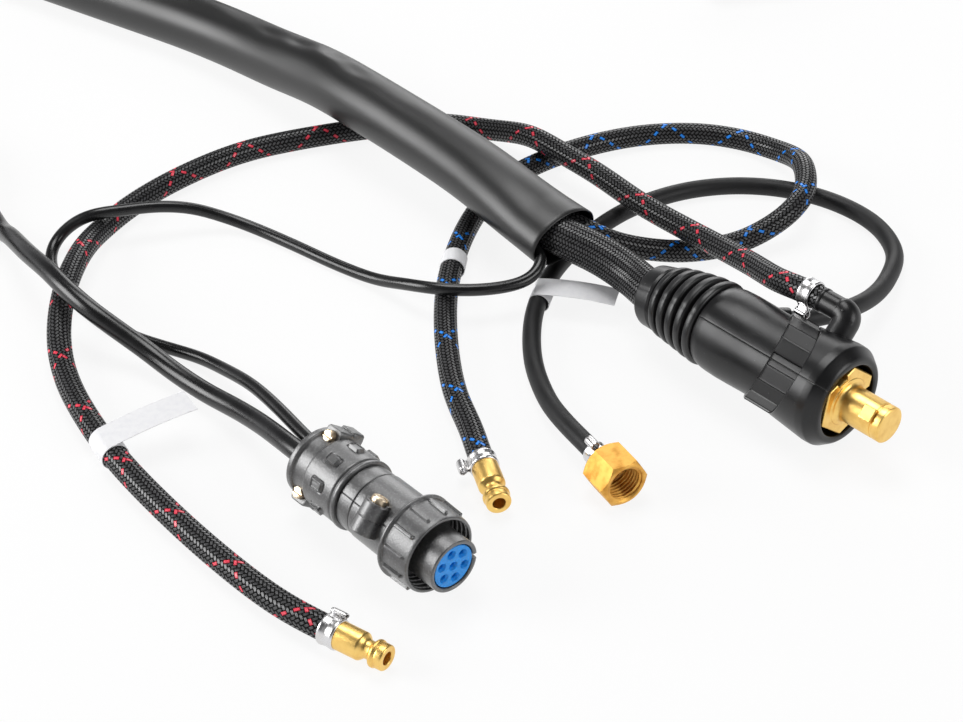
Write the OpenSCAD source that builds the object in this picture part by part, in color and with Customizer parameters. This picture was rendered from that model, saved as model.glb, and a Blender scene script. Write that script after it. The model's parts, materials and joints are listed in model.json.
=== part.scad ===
// Water-cooled welding torch with its lead: power plug, water and gas hoses,
// control plug, cover sleeve and torch head. +X runs out along the plug's pin
// from the middle of the hexagon's face, and the lead lies on a surface below it.

/* [Power plug] */
// Diameter of the contact pin
pin_d = 13; // [10:0.5:14]
// Length of the pin in front of the hexagon
pin_len = 17.8; // [16.8:0.2:26]
// Hexagon behind the pin, across flats
hex_af = 22.4; // [20:0.2:22.6]
// Thickness of the hexagon
hex_len = 8; // [5:0.5:9]
// Largest diameter of the collar
rim_d = 37; // [35:0.5:37]
// Bore of the collar round the hexagon
collar_bore = 26.4; // [26.2:0.2:27.6]
// Diameter over the grip's panels
grip_d = 33.2; // [32.6:0.2:34.4]
// Number of grip panels
grip_panels = 17; // [8:1:20]
// Length of the moulded body behind the seat
body_len = 55; // [54:1:62]
// Diameter of the body behind the grip
body_d = 31.6; // [29:0.2:32]

/* [Bend relief] */
// Number of ribs
boot_ribs = 5; // [3:1:8]
// Step from rib to rib
rib_step = 4.6; // [3.6:0.1:6]
// Diameter of the first rib
rib_d = 31; // [26:0.2:32]
// Diameter of the end collar
boot_end_d = 22.4; // [20:0.2:26]
// Length of the end collar
boot_end_len = 7.6; // [5:0.2:12]
// Sag of each rib, degrees
boot_sag = 2; // [0:0.1:3]

/* [Hoses and cables] */
// Power cable with its water hose
power_d = 14.6; // [12:0.2:15.4]
// Return water hose
water_out_d = 8.6; // [7:0.1:8.8]
// Supply water hose
water_in_d = 8.4; // [7:0.1:8.6]
// Gas hose
gas_d = 6.7; // [5:0.1:6.9]
// Switch lead
switch_lead_d = 4.5; // [3:0.1:4.6]
// Lead of the remote socket
remote_d = 7; // [5:0.1:7]
// Cover sleeve over the bundle
sleeve_d = 24.5; // [20:0.1:24.5]
// Wall of the sleeve
sleeve_wall = 0.8; // [0.6:0.1:1.6]
// Width of the sleeve's open end
mouth_w = 31; // [29:0.2:32]
// Height of the sleeve's open end
mouth_h = 21.6; // [20:0.2:21.8]

/* [Water elbow] */
// Diameter of the leg that leaves the body
elbow_leg_d = 9.1; // [7:0.1:10]
// Place of the elbow behind the seat
elbow_back = 13.4; // [12:0.1:15]
// Distance of its corner from the pin's axis
elbow_reach = 25.2; // [24:0.1:30]
// Length of the leg along the hose
elbow_run = 12; // [10:0.5:16]
// Bore of the elbow
elbow_bore = 5; // [3:0.1:6]

/* [Water nipples] */
// Diameter of the nipple's barrel
nipple_d = 9.1; // [8.4:0.1:10]
// Length of the whole nipple
nipple_len = 17.3; // [16:0.1:22]
// Length of its barrel
barrel_len = 8.4; // [6:0.1:9]
// Diameter of the locking groove
groove_d = 6; // [5:0.1:7]
// Diameter of the sealing tip
tip_d = 8.4; // [7.4:0.1:9]
// Length of the sealing tip
tip_len = 2.6; // [2:0.1:4]
// Bore of the nipple
nipple_bore = 4.2; // [3:0.1:5]

/* [Clamps] */
// Width of the ear clamps
clamp_w = 5.2; // [4:0.1:6.4]
// Thickness of their band
clamp_t = 0.8; // [0.5:0.1:1.1]

/* [Gas nut] */
// Nut across flats
nut_af = 15.5; // [14.5:0.1:17]
// Length of the nut
nut_len = 13; // [11:0.1:16]
// Core diameter of its thread
nut_core_d = 11.44; // [10.6:0.02:12]
// Thickness of the nut's back wall
nut_wall = 2.6; // [2:0.1:4]

/* [Control plug] */
// Outer diameter of the plug's barrel
barrel_d = 18.4; // [17.6:0.1:18.6]
// Diameter of the contact insert
insert_d = 15.4; // [14.4:0.1:15.8]
// Diameter of a contact's hole
contact_d = 1.8; // [1.4:0.1:2.4]
// Distance from the barrel's face to the ring
ring_back = 7; // [5:0.1:9]
// Diameter of the coupling ring
ring_d = 28.4; // [27.4:0.1:30]
// Length of the coupling ring
ring_len = 12.5; // [10:0.1:13]
// Number of ribs on the ring
ring_ribs = 12; // [6:1:16]
// Diameter of the plug's body
shell_d = 23.4; // [22.8:0.1:25]
// Length of the body behind the ring
shell_len = 24; // [22:0.5:30]
// Diameter of the back shell
back_d = 24.8; // [24.2:0.1:28]
// Length of the back shell
back_len = 16.5; // [14:0.5:20]
// Diameter of the tower that holds the body's screw
tower_d = 9; // [7:0.1:9.4]

/* [Remote socket] */
// Diameter of the socket's body
socket_d = 22.2; // [20:0.2:22.2]
// Length of the socket's body
socket_len = 48; // [36:1:60]

/* [Handle] */
// Length of the handle
handle_len = 150; // [130:1:180]
// Diameter of the handle
handle_d = 32; // [30:0.5:34]
// Wall of its shells
handle_wall = 2.6; // [2:0.1:3.4]
// Length of the switch button
button_len = 26; // [18:0.5:32]
// Travel of the switch button
button_travel = 1.5; // [1:0.1:2]

/* [Torch head] */
// Angle of the head from the handle
head_angle = 70; // [60:1:90]
// Diameter of the head's cover
head_d = 22; // [20:0.2:24]
// Length of the head's cover
head_len = 28; // [26:0.5:34]
// Distance of the head from the handle's front end
head_reach = 34; // [30:1:44]
// Outer diameter of the ceramic nozzle
nozzle_d = 16; // [14:0.2:18]
// Length of the ceramic nozzle
nozzle_len = 37; // [30:0.5:42]
// Diameter of the tungsten
tungsten_d = 2.4; // [1.6:0.4:3.2]
// Stick-out of the tungsten in front of the nozzle
stick_out = 4; // [2:0.5:8]
// Diameter of the back cap
cap_d = 17; // [15:0.2:20]
// Length of the back cap
cap_len = 24; // [20:0.5:40]

/* [Hidden] */
$fn = 48;

fit = 0.05;      // running and push fits, on the radius
gap = 0.3;       // between pieces that only pass each other
floor_z = -18.5; // the surface that the lead lies on

// Directions in the plug's own cross-section, from +Y towards +Z
elbow_turn = 46.3;
lug_turn = 137;
grip_turn = 137;

function dir(yaw, pitch = 0) = [cos(pitch) * cos(yaw), cos(pitch) * sin(yaw), sin(pitch)];
function unit(v) = v / norm(v);
function turn(a) = [0, cos(a), sin(a)];

// ---- plug, from a datum behind the hexagon's face
seat_x = 2.2;
tip_x = seat_x + pin_len;
hex_x = seat_x - hex_len;
stem_d = pin_d + 3;
ferrule_d = stem_d + 1;
ferrule_x = -30;
ferrule_len = body_len + ferrule_x - 3;
grip_x = -21;      // front border of the panels at the sides of the plug
grip_len = 12.4;
grip_lean = 12;
grip_base_d = grip_d - 1.2;
gas_port = [-43, 24, -3];
gas_port_yaw = 55;
gas_boss_d = gas_d + 2.8;

// Joints of the bend relief, each rib sagging a little more than the one before
boot_n = boot_ribs + 1;
function boot_step(i) = i < boot_ribs ? rib_step : boot_end_len;
function boot_joint(i) = i == 0 ? [-body_len, 0, 0]
    : boot_joint(i - 1) - boot_step(i - 1) * dir(0, boot_sag * (i - 1));
function boot_d(i) = rib_d - (rib_d - boot_end_d - 2) * pow(i / boot_n, 1.3);
boot_end = boot_joint(boot_n);
boot_run = norm(boot_joint(0) - boot_end);
boot_lean = atan2(-boot_end[2], -body_len - boot_end[0]);

// ---- elbow
elbow_corner = [-elbow_back, 0, 0] + elbow_reach * turn(elbow_turn);
elbow_end = elbow_corner - [elbow_run, 0, 0];

// ---- far ends of the hoses: the middle of each tip or face, and its heading
out_tip = [-20, -181.6, floor_z + 5.3];
out_yaw = 13;
in_tip = [-49, -109.3, floor_z + 5.3];
in_yaw = -28.5;
nut_face = [-26, -75, floor_z + 7.75];
nut_yaw = -13;
nut_back = 0.8;
tail_d = 6.6;
collar_t = 1.6;
nut_relief = gap + collar_t + 2.2;
out_end = out_tip - nipple_len * dir(out_yaw);
in_end = in_tip - nipple_len * dir(in_yaw);
gas_end = nut_face - (nut_len + nut_back) * dir(nut_yaw);

// ---- control plug
plug_face = [-28.1, -147.5, -3.1];
plug_yaw = -1.3;
seam_turn = 141;
ring_z = -ring_back - ring_len;
shell_z = ring_z - gap - shell_len;
back_z = shell_z - back_len;
neck_len = 8;
neck_z = back_z - neck_len;
neck_d = 22;
flange_r = 12.2;
bar_side = 9.8;     // the clamping bars stand this far to both sides of the leads
screw_head_d = 5.8;
tower_top = 4.8;
seat_d = barrel_d + 0.4;   // the barrel behind the stretch that goes into the socket
lead_side = 4.6;
lead_in = 6;
function in_plug(z, y = 0, h = 0) =
    plug_face + z * dir(plug_yaw) + y * dir(plug_yaw + 90) + [0, 0, h];

// ---- sleeve
mouth = [-131, -0.8, -0.3];
mouth_run = [-143, -0.8, 1];
sleeve_head = [-0.971, -0.238, 0];
sleeve_last = [-396, -4, floor_z + sleeve_d / 2];
sleeve_more = 132;
coil_pitch = sleeve_d + 0.6;
coil_in = 80.6;
coil_turns = 4.54;
coil_out = coil_in + coil_pitch * coil_turns / 2;
coil_side = [-0.238, 0.971, 0];
coil_from = sleeve_last + sleeve_more * sleeve_head;
coil_mid = coil_from + coil_out * coil_side;
coil_start_a = atan2(-coil_side[1], -coil_side[0]);

remote_pitch = remote_d + 0.6;
remote_in = 30.7;
remote_turns = 5.045;
remote_out = remote_in + remote_pitch * remote_turns / 2;
remote_head = [-0.96, 0.28, 0];
remote_last = [-297, -137, floor_z + remote_d / 2];
remote_more = 50;
remote_from = remote_last + remote_more * remote_head;
remote_side = [-0.28, -0.96, 0];
remote_mid = remote_from + remote_out * remote_side;
remote_start_a = atan2(-remote_side[1], -remote_side[0]);

// A spiral of two layers that runs in, climbs where it turns back, and runs out again
function smooth(t) = let (u = min(1, max(0, t))) u * u * (3 - 2 * u);
function spiral(mid, r_in, pitch, turns, a0, way, rings = 24) =
    let (n = round(turns * rings))
    [for (i = [0:n]) let (t = turns * (i / n - 0.5), a = a0 + way * 360 * (t + turns / 2))
        mid + (r_in + pitch * abs(t)) * [cos(a), sin(a), 0]
            + [0, 0, pitch * smooth(2 * t + 0.5)]];
function tangent(a, way) = way * [-sin(a), cos(a), 0];
function with_ends(p, d, tail, from, to) = concat([p[0] - d * from], p,
    [for (i = [1:tail]) p[len(p) - 1] + i * d * to]);
function least_gap(p, d, half = 12) =
    min([for (i = [0:len(p) - half - 1]) for (j = [i + half:len(p) - 1]) norm(p[i] - p[j]) - d]);

coil_way = tangent(coil_start_a - 360 * coil_turns, -1);
remote_way = tangent(remote_start_a + 360 * remote_turns, 1);
cover_spiral = with_ends(spiral(coil_mid, coil_in, coil_pitch, coil_turns, coil_start_a, -1),
    sleeve_d, 1, sleeve_head, coil_way);
remote_spiral = with_ends(
    spiral(remote_mid, remote_in, remote_pitch, remote_turns, remote_start_a, 1),
    remote_d, 6, remote_head, remote_way);
echo(cover_gap = least_gap(cover_spiral, sleeve_d), remote_gap = least_gap(remote_spiral, remote_d));

coil_end = cover_spiral[len(cover_spiral) - 1];
handle_at = [coil_end[0] + 105, coil_end[1], floor_z + handle_d / 2];
remote_end = remote_spiral[len(remote_spiral) - 1];
remote_yaw = atan2(remote_way[1], remote_way[0]);

// ---- routes of the free stretches, by hand
function face_in(at, yaw, run) = [at - run * dir(yaw), at];
power_route = concat([[ferrule_x, 0, 0]], [for (i = [0:boot_n]) boot_joint(i)],
    [[-99, 2.6, -3], [-113, 1.6, -1], mouth + [0, -1.8, 1.8], mouth_run + [0.6, -1.8, 1.8]]);
out_route = concat([elbow_end, elbow_end - [9, 0, 0]],
    [[-46, 19.4, 14.2], [-62, 26.8, 8.4], [-82, 34, 2], [-108, 39.5, -3.4], [-133, 41.5, -5.2],
    [-158, 44.5, -5.2], [-180, 45, -5.2], [-197, 45.8, -5.6], [-212, 45.4, -10.5], [-225, 42.5, -13.6],
    [-239, 34.5, -14.2], [-253, 14.5, -14.2], [-265, -9, -14.2], [-275, -36, -14.2],
    [-277, -64, -14.2], [-274, -90, -14.2], [-267, -110, -13.6], [-257, -125, -10.2],
    [-245, -139, -8.6], [-233, -151, -8.6], [-220, -162, -12], [-204, -171, -14.2],
    [-182, -179, -13.7], [-151, -186, -13.7], [-114, -189.5, -14.2], [-82, -190.5, -14.2],
    [-60, -189.8, -13.8]], face_in(out_end, out_yaw, 10));
in_route = concat([mouth_run + [0.6, 9.6, -1.2], mouth + [1, 10.2, -0.8]],
    [[-122, 15.5, -5.4], [-114, 27, -10], [-106, 42, -13.6], [-98, 59, -13.6], [-93.5, 73, -9.8],
    [-93, 83, -7], [-98, 96, -6.6], [-109, 108, -6.6], [-119, 115, -9.8], [-131, 118.5, -13.4],
    [-147, 115.5, -14.3], [-163, 105.5, -14.3], [-177, 88, -14.3], [-186, 66, -14.3],
    [-190, 42, -14.3], [-188, 20, -14.3], [-178, -3, -14.3], [-164, -24, -13.7], [-148, -43, -13.7],
    [-127, -62, -14.3], [-104, -79, -14.3], [-84, -89.5, -13.9]], face_in(in_end, in_yaw, 10));
gas_route = concat([gas_port, gas_port + 5 * dir(gas_port_yaw)],
    [[-36.6, 38, -3.8], [-36, 49.5, -6], [-38.7, 64.3, -9.9], [-45, 81, -13.4], [-55.2, 98, -15.1],
    [-72, 107.6, -15.1], [-92, 108.5, -15.1], [-111, 102, -15.1], [-127, 89, -15.1],
    [-138, 71, -15.1], [-143, 50, -15.1], [-142.5, 31, -15.1], [-138, 11, -15.1],
    [-130, -9, -14.6], [-117, -29, -14.6], [-99, -46.5, -15.1], [-80, -58.5, -14.4],
    [-65, -65, -12.4]], face_in(gas_end, nut_yaw, 9));
switch_route = concat([mouth_run + [0.6, -10.9, -1.6], mouth + [0.5, -11.2, -2.1]],
    [[-127.2, -16, -5], [-126.8, -23.5, -7], [-131, -34, -7.2], [-138, -44, -6.9],
    [-147, -51, -7.2], [-158, -53.5, -10], [-174, -55, -15.2], [-192, -58.5, -16.2],
    [-213, -62, -16.2], [-231, -66.5, -15.4], [-242, -73, -12.6], [-250, -82, -8.6],
    [-257, -93.5, -6.4], [-262, -103, -6.2], [-267, -113, -5.8], [-272, -120, -9.5],
    [-272, -129, -14.6], [-261, -137.5, -16.2], [-245, -141, -16.2], [-226, -142.5, -16.2],
    [-207, -140.5, -16.2], [-193, -135.5, -16.2], [-180, -131, -15.6], [-166, -130.5, -13.2],
    [-148, -132, -9.2], [-128, -136, -5.8]],
    [in_plug(neck_z - 8, lead_side), in_plug(neck_z + lead_in, lead_side)]);
remote_route = concat([remote_spiral[0], remote_last],
    [[-281, -141.5, -9.6], [-259, -147.5, -3.6], [-240, -151, 0], [-225, -153, 0.2],
    [-212, -152.5, -1.8], [-202, -149.5, -5.8], [-191, -146, -10.2], [-176, -144, -13.2],
    [-160, -143, -13.4], [-143, -142.6, -11], [-126, -144, -7.6]],
    [in_plug(neck_z - 8, -1.8), in_plug(neck_z + lead_in, -1.8)]);
sleeve_route = [mouth, mouth_run, [-156, -0.5, 2.3], [-180, 2.5, 3], [-204, 4, 3],
    [-228, 4.5, 3.4], [-252, 5, 3.4], [-279, 7, 1.4], [-307, 8.5, -3.6], [-334, 8, -5.6],
    [-362, 4.2, floor_z + sleeve_d / 2], sleeve_last, cover_spiral[0]];
sleeve_w = [mouth_w / 2, mouth_w / 2 - 0.6, 14, 13.2, 12.6, sleeve_d / 2];
sleeve_h = [mouth_h / 2, mouth_h / 2 - 0.3, 11.2, 11.8, 12.1, sleeve_d / 2];
tail_route = [coil_end, coil_end + 22 * coil_way, coil_end + [52, 0, -8],
    [handle_at[0] - 25, handle_at[1], handle_at[2] + 3], handle_at - [10, 0, 0], handle_at];

// ---- swept tubes: rings square to the route, one corner straight down
function pick(v, i) = is_list(v) ? v[min(i, len(v) - 1)] : v;
function heading(p, i) = unit(
    (i > 0 ? unit(p[i] - p[i - 1]) : [0, 0, 0]) + (i < len(p) - 1 ? unit(p[i + 1] - p[i]) : [0, 0, 0]));
function ring(p, i, w, h, n) = let (t = heading(p, i), s = unit(cross([0, 0, 1], t)), u = cross(t, s))
    [for (j = [0:n - 1]) let (a = 360 * j / n - 90)
        p[i] + w * cos(a) * s + h * sin(a) * u];
module tube(p, w, n, h = undef) {
    hh = is_undef(h) ? w : h;
    last = len(p) - 1;
    polyhedron(
        points = [for (i = [0:last]) each ring(p, i, pick(w, i), pick(hh, i), n)],
        faces = concat([[for (j = [0:n - 1]) j], [for (j = [n - 1:-1:0]) last * n + j]],
            [for (i = [0:last - 1], j = [0:n - 1]) each [
                [i * n + j, (i + 1) * n + j, (i + 1) * n + (j + 1) % n],
                [i * n + j, (i + 1) * n + (j + 1) % n, i * n + (j + 1) % n]]]));
}

// ---- shared shapes, all along local +Z
module along(p, yaw = 0, pitch = 0) translate(p) rotate([0, 90 - pitch, yaw]) children();
// A turned solid from [place, radius] pairs, with a bore when inner is above zero
module turned(p, inner = 0) rotate_extrude()
    polygon(concat([for (q = p) [q[1], q[0]]], [[inner, p[len(p) - 1][0]], [inner, p[0][0]]]));
module pipe(d, inner, len, z = 0) translate([0, 0, z]) difference() {
    cylinder(d = d, h = len);
    translate([0, 0, -1]) cylinder(d = inner, h = len + 2);
}
module hexagon(af, len) cylinder(d = af / cos(30), h = len, $fn = 6);
module ear_clamp(d, ear_turn) difference() {
    union() {
        cylinder(d = d + 2 * clamp_t, h = clamp_w);
        rotate(ear_turn) translate([d / 2, -1.9, 0.6]) cube([2.4, 3.8, clamp_w - 1.2]);
    }
    translate([0, 0, -1]) cylinder(d = d + 2 * fit, h = clamp_w + 2);
    rotate(ear_turn) translate([d / 2 + 0.2, -1.2, -1]) cube([1.4, 2.4, clamp_w + 2]);
}
module nipple() turned([[0, nipple_d / 2], [barrel_len, nipple_d / 2],
    [barrel_len + 1.4, groove_d / 2 + 0.3], [barrel_len + 2, groove_d / 2],
    [nipple_len - tip_len - 2.7, groove_d / 2], [nipple_len - tip_len - 1.2, nipple_d / 2],
    [nipple_len - tip_len - 0.6, nipple_d / 2], [nipple_len - tip_len, tip_d / 2],
    [nipple_len, tip_d / 2]], nipple_bore / 2);
module label(d, len, flag, up) {
    pipe(d + 2 * fit + 0.8, d + 2 * fit, len);
    rotate(up) translate([d / 2 + 0.2, -0.2, 0]) cube([flag, 0.4, len]);
}

// ---- power plug
// One cell of the slanting grip band: from radius r outwards by rise
module grip_cell(k, r, fill, rise) {
    step = 360 / grip_panels;
    a = grip_turn + k * step;
    side = r * tan(step / 2) * fill;
    lo = grip_x + grip_lean * abs(cos(a - step / 2 * fill - grip_turn));
    hi = grip_x + grip_lean * abs(cos(a + step / 2 * fill - grip_turn));
    len = grip_len * (fill < 1 ? fill : 1);
    rotate([a, 0, 0]) translate([0, r, 0]) rotate([-90, 0, 0]) linear_extrude(rise)
        polygon([[lo, side], [hi, -side], [hi - len, -side], [lo - len, side]]);
}
module plug_housing() color([0.11, 0.115, 0.12]) difference() {
    union() {
        difference() {
            along([0, 0, 0]) turned([[-body_len, body_d / 2 - 0.6], [-body_len + 2, body_d / 2 - 0.6],
                [-body_len + 2.2, body_d / 2 + 0.3], [-44, body_d / 2], [-33, body_d / 2 - 0.3],
                [-20.5, grip_d / 2 + 0.8], [-4, rim_d / 2], [seat_x - 4.6, rim_d / 2 - 0.3],
                [seat_x - 0.8, rim_d / 2 - 2.8], [seat_x, rim_d / 2 - 3.5]]);
            for (k = [0:grip_panels - 1]) grip_cell(k, grip_base_d / 2, 1.02, 4);
        }
        for (k = [0:grip_panels - 1]) grip_cell(k, grip_base_d / 2 - 0.8, 0.88, 1.4);
        along(gas_port - 16 * dir(gas_port_yaw), gas_port_yaw) cylinder(d = gas_boss_d, h = 16);
    }
    along([hex_x, 0, 0]) cylinder(d = collar_bore, h = hex_len + 10);
    along([ferrule_x - 1, 0, 0]) cylinder(d = stem_d + 2 * fit, h = -ferrule_x);
    along([-body_len - 1, 0, 0]) cylinder(d = ferrule_d + 2 * fit, h = body_len + 1 + ferrule_x);
    translate([-elbow_back, 0, 0]) rotate([elbow_turn - 90, 0, 0])
        cylinder(d = elbow_leg_d + 2 * fit, h = elbow_reach);
    along(gas_port - 12 * dir(gas_port_yaw), gas_port_yaw) cylinder(d = gas_d - 2.6, h = 20);
}
module plug_boot() color([0.1, 0.1, 0.105]) difference() {
    union() {
        for (i = [0:boot_ribs - 1]) along(boot_joint(i + 1), 0, boot_sag * i)
            turned([[0, boot_d(i) / 2 - 4], [rib_step * 0.22, boot_d(i) / 2 - 0.3],
                [rib_step * 0.3, boot_d(i) / 2], [rib_step * 0.7, boot_d(i) / 2],
                [rib_step * 0.78, boot_d(i) / 2 - 0.4], [rib_step, boot_d(i) / 2 - 4]]);
        along(boot_end, 0, boot_lean)
            turned([[0, boot_end_d / 2 - 1], [0.8, boot_end_d / 2 - 0.4],
                [boot_end_len, boot_end_d / 2 + 0.6], [boot_run - 2, boot_d(0) / 2 - 1.8]]);
    }
    along(boot_end, 0, boot_lean)
        translate([0, 0, -1]) cylinder(d = power_d + 6 * gap, h = boot_run + 10);
}
module power_pin() color([0.83, 0.62, 0.28]) difference() {
    union() {
        along([hex_x, 0, 0]) rotate(50) hexagon(hex_af, hex_len);
        along([0, 0, 0]) turned([[-1, pin_d / 2], [tip_x - 4.4, pin_d / 2],
            [tip_x - 4.4, pin_d / 2 - 0.4], [tip_x - 3.4, pin_d / 2 - 0.4],
            [tip_x - 3.4, pin_d / 2], [tip_x - 0.5, pin_d / 2], [tip_x, pin_d / 2 - 0.5]]);
        along([ferrule_x, 0, 0]) cylinder(d = stem_d, h = hex_x - ferrule_x);
        rotate([lug_turn, 0, 0]) translate([tip_x - 9, 0, -2.5]) cube([4.6, pin_d / 2 + 1.2, 5]);
    }
    for (a = [110, 350]) rotate([a, 0, 0]) translate([seat_x - 3, hex_af / 2 - 1.3, -2.3]) cube([4, 6, 4.6]);
    along([ferrule_x - 1, 0, 0]) cylinder(d = stem_d / 2, h = hex_x - ferrule_x - 2);
    translate([-elbow_back, 0, 0]) rotate([elbow_turn - 90, 0, 0])
        cylinder(d = elbow_bore, h = stem_d);
}
module power_ferrule() color([0.8, 0.6, 0.3])
    along([ferrule_x - ferrule_len, 0, 0]) pipe(ferrule_d, power_d + 2 * fit, ferrule_len);
module power_cable() color([0.07, 0.07, 0.08]) tube(power_route, power_d / 2, 10);

// ---- elbow and the return water hose
module water_elbow() color([0.12, 0.12, 0.125]) {
    foot = stem_d / 2 + 0.4;
    translate([-elbow_back, 0, 0]) rotate([elbow_turn - 90, 0, 0]) difference() {
        union() {
            translate([0, 0, foot]) cylinder(d = elbow_leg_d, h = elbow_reach - foot);
            translate([0, 0, rim_d / 2 + gap]) cylinder(d = elbow_leg_d + 1.6, h = 1.2);
            translate([0, 0, elbow_reach]) sphere(d = elbow_leg_d);
            translate([0, 0, elbow_reach]) rotate([0, -90, 0])
                cylinder(d = water_out_d - 0.2, h = elbow_run);
        }
        translate([0, 0, foot - 1]) cylinder(d = elbow_bore, h = elbow_reach - foot + 1);
        translate([0, 0, elbow_reach]) sphere(d = elbow_bore);
        translate([0, 0, elbow_reach]) rotate([0, -90, 0]) cylinder(d = elbow_bore, h = elbow_run + 1);
    }
}
module elbow_clamp() color([0.75, 0.76, 0.78])
    along(elbow_end - [8, 0, 0]) ear_clamp(water_out_d, 300);
module water_out_hose() color([0.06, 0.06, 0.065]) tube(out_route, water_out_d / 2, 8);
module water_out_clamp() color([0.75, 0.76, 0.78])
    along(out_end - (clamp_w + 0.9) * dir(out_yaw), out_yaw) ear_clamp(water_out_d, 120);
module water_out_nipple() color([0.83, 0.62, 0.28]) along(out_end, out_yaw) nipple();
module water_out_label() color([0.93, 0.93, 0.93])
    along([-182, -179, -13.7], atan2(-7, 31)) translate([0, 0, 8]) label(water_out_d, 6, 30, 104);

// ---- supply water hose
module water_in_hose() color([0.06, 0.06, 0.065]) tube(in_route, water_in_d / 2, 8);
module water_in_clamp() color([0.75, 0.76, 0.78])
    along(in_end - (clamp_w + 0.9) * dir(in_yaw), in_yaw) ear_clamp(water_in_d, 270);
module water_in_nipple() color([0.83, 0.62, 0.28]) along(in_end, in_yaw) nipple();
module water_in_label() color([0.93, 0.93, 0.93])
    along([-164, -24, -13.7], atan2(-19, 16)) translate([0, 0, 3]) pipe(water_in_d + 1, water_in_d + 2 * fit, 6);

// ---- gas hose with its swivel nut
module gas_hose() color([0.09, 0.09, 0.1]) tube(gas_route, gas_d / 2, 8);
module gas_clamp() color([0.75, 0.76, 0.78])
    along(gas_end - (clamp_w + 1) * dir(nut_yaw), nut_yaw) ear_clamp(gas_d, 200);
module gas_tail() color([0.8, 0.6, 0.3]) along(gas_end, nut_yaw)
    turned([[0, tail_d / 2], [nut_back + nut_wall + gap, tail_d / 2],
        [nut_back + nut_wall + gap, nut_core_d / 2 - 0.4],
        [nut_back + nut_wall + gap + collar_t, nut_core_d / 2 - 0.4],
        [nut_back + nut_wall + gap + collar_t + 1.8, 3]], 2);
module gas_nut() color([0.85, 0.64, 0.3]) along(gas_end + nut_back * dir(nut_yaw), nut_yaw)
    difference() {
        intersection() {
            rotate(30) hexagon(nut_af, nut_len);
            turned([[0, nut_af / 2 + 0.1], [0.9, nut_af / 2 + 1.2],
                [nut_len - 0.9, nut_af / 2 + 1.2], [nut_len, nut_af / 2 + 0.1]]);
        }
        translate([0, 0, -1]) cylinder(d = tail_d + 2 * fit, h = nut_wall + 2);
        translate([0, 0, nut_wall]) cylinder(d = nut_core_d + 1.2, h = nut_relief);
        translate([0, 0, nut_wall]) cylinder(d = nut_core_d, h = nut_len);
        turned([[nut_len - 0.9, nut_core_d / 2 - 0.1], [nut_len + 0.1, nut_core_d / 2 + 0.9]]);
    }
module gas_label() color([0.93, 0.93, 0.93])
    along([-130, -9, -14.6], atan2(-20, 13)) translate([0, 0, 8]) label(gas_d, 7, 24, 97);

// ---- leads of the control plug
module switch_lead() color([0.08, 0.08, 0.085]) tube(switch_route, switch_lead_d / 2, 8);
module remote_lead() color([0.09, 0.09, 0.095]) tube(remote_route, remote_d / 2, 8);
module remote_coil() color([0.09, 0.09, 0.095]) tube(remote_spiral, remote_d / 2, 6);
module remote_socket() color([0.13, 0.13, 0.135]) along(remote_end, remote_yaw) difference() {
    turned([[0, 6], [12, 7.5], [12, socket_d / 2 - 2], [14, socket_d / 2],
        [14 + socket_len - 2, socket_d / 2], [14 + socket_len, socket_d / 2 - 1]]);
    translate([0, 0, 14 + socket_len - 12]) cylinder(d = socket_d - 5, h = 20);
}
module remote_insert() color([0.1, 0.45, 0.8]) along(remote_end, remote_yaw) difference() {
    translate([0, 0, 14 + socket_len - 12]) cylinder(d = socket_d - 5 - 2 * fit, h = 5);
    for (a = [0:72:288]) rotate(a) translate([5, 0, 14 + socket_len - 10]) cylinder(d = 1.6, h = 5, $fn = 16);
}

// ---- control plug
module in_plug_frame() along(plug_face, plug_yaw) children();
module contact_places() {
    children();
    for (a = [0:60:300]) rotate(a + 8) translate([4.8, 0, 0]) children();
}
module plug_barrel() color([0.2, 0.2, 0.2]) in_plug_frame() difference() {
    union() {
        pipe(barrel_d, insert_d + 2 * fit, -ring_z - 3.6, ring_z + 3.6);
        pipe(seat_d, insert_d + 2 * fit, 13.6, ring_z - 10);
    }
    rotate(88) translate([insert_d / 2 - 0.4, -0.9, -3]) cube([3, 1.8, 4]);
}
module plug_insert() color([0.09, 0.5, 0.95]) in_plug_frame() difference() {
    translate([0, 0, -19]) cylinder(d = insert_d, h = 18.5);
    contact_places() translate([0, 0, -20]) cylinder(d = contact_d, h = 20, $fn = 24);
}
module plug_contacts() color([0.75, 0.6, 0.3]) in_plug_frame()
    contact_places() translate([0, 0, -22]) difference() {
        cylinder(d = contact_d - 2 * fit, h = 17, $fn = 24);
        translate([0, 0, 8]) cylinder(d = contact_d / 2, h = 10, $fn = 16);
    }
module plug_ring() color([0.2, 0.2, 0.2]) in_plug_frame() difference() {
    union() {
        turned([[ring_z, ring_d / 2 + 0.5], [ring_z + 1.4, ring_d / 2 + 0.5],
            [ring_z + 1.6, ring_d / 2 - 0.6], [-ring_back - 0.6, ring_d / 2 - 0.9],
            [-ring_back, ring_d / 2 - 1.3]]);
        for (k = [0:ring_ribs - 1]) rotate(k * 360 / ring_ribs + 9)
            translate([ring_d / 2 - 1.2, -0.8, ring_z + 1]) cube([1.3, 1.6, ring_len - 3.4]);
    }
    translate([0, 0, ring_z - 1]) cylinder(d = seat_d + 2 * fit, h = 40);
    translate([0, 0, ring_z + 3.5]) cylinder(d = ring_d - 3.4, h = 40);
}
module tower(d, low, high) rotate([0, 0, 90 + seam_turn]) translate([12, 0, -28])
    rotate([90, 0, 0]) translate([0, 0, low]) cylinder(d = d, h = high - low);
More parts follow.
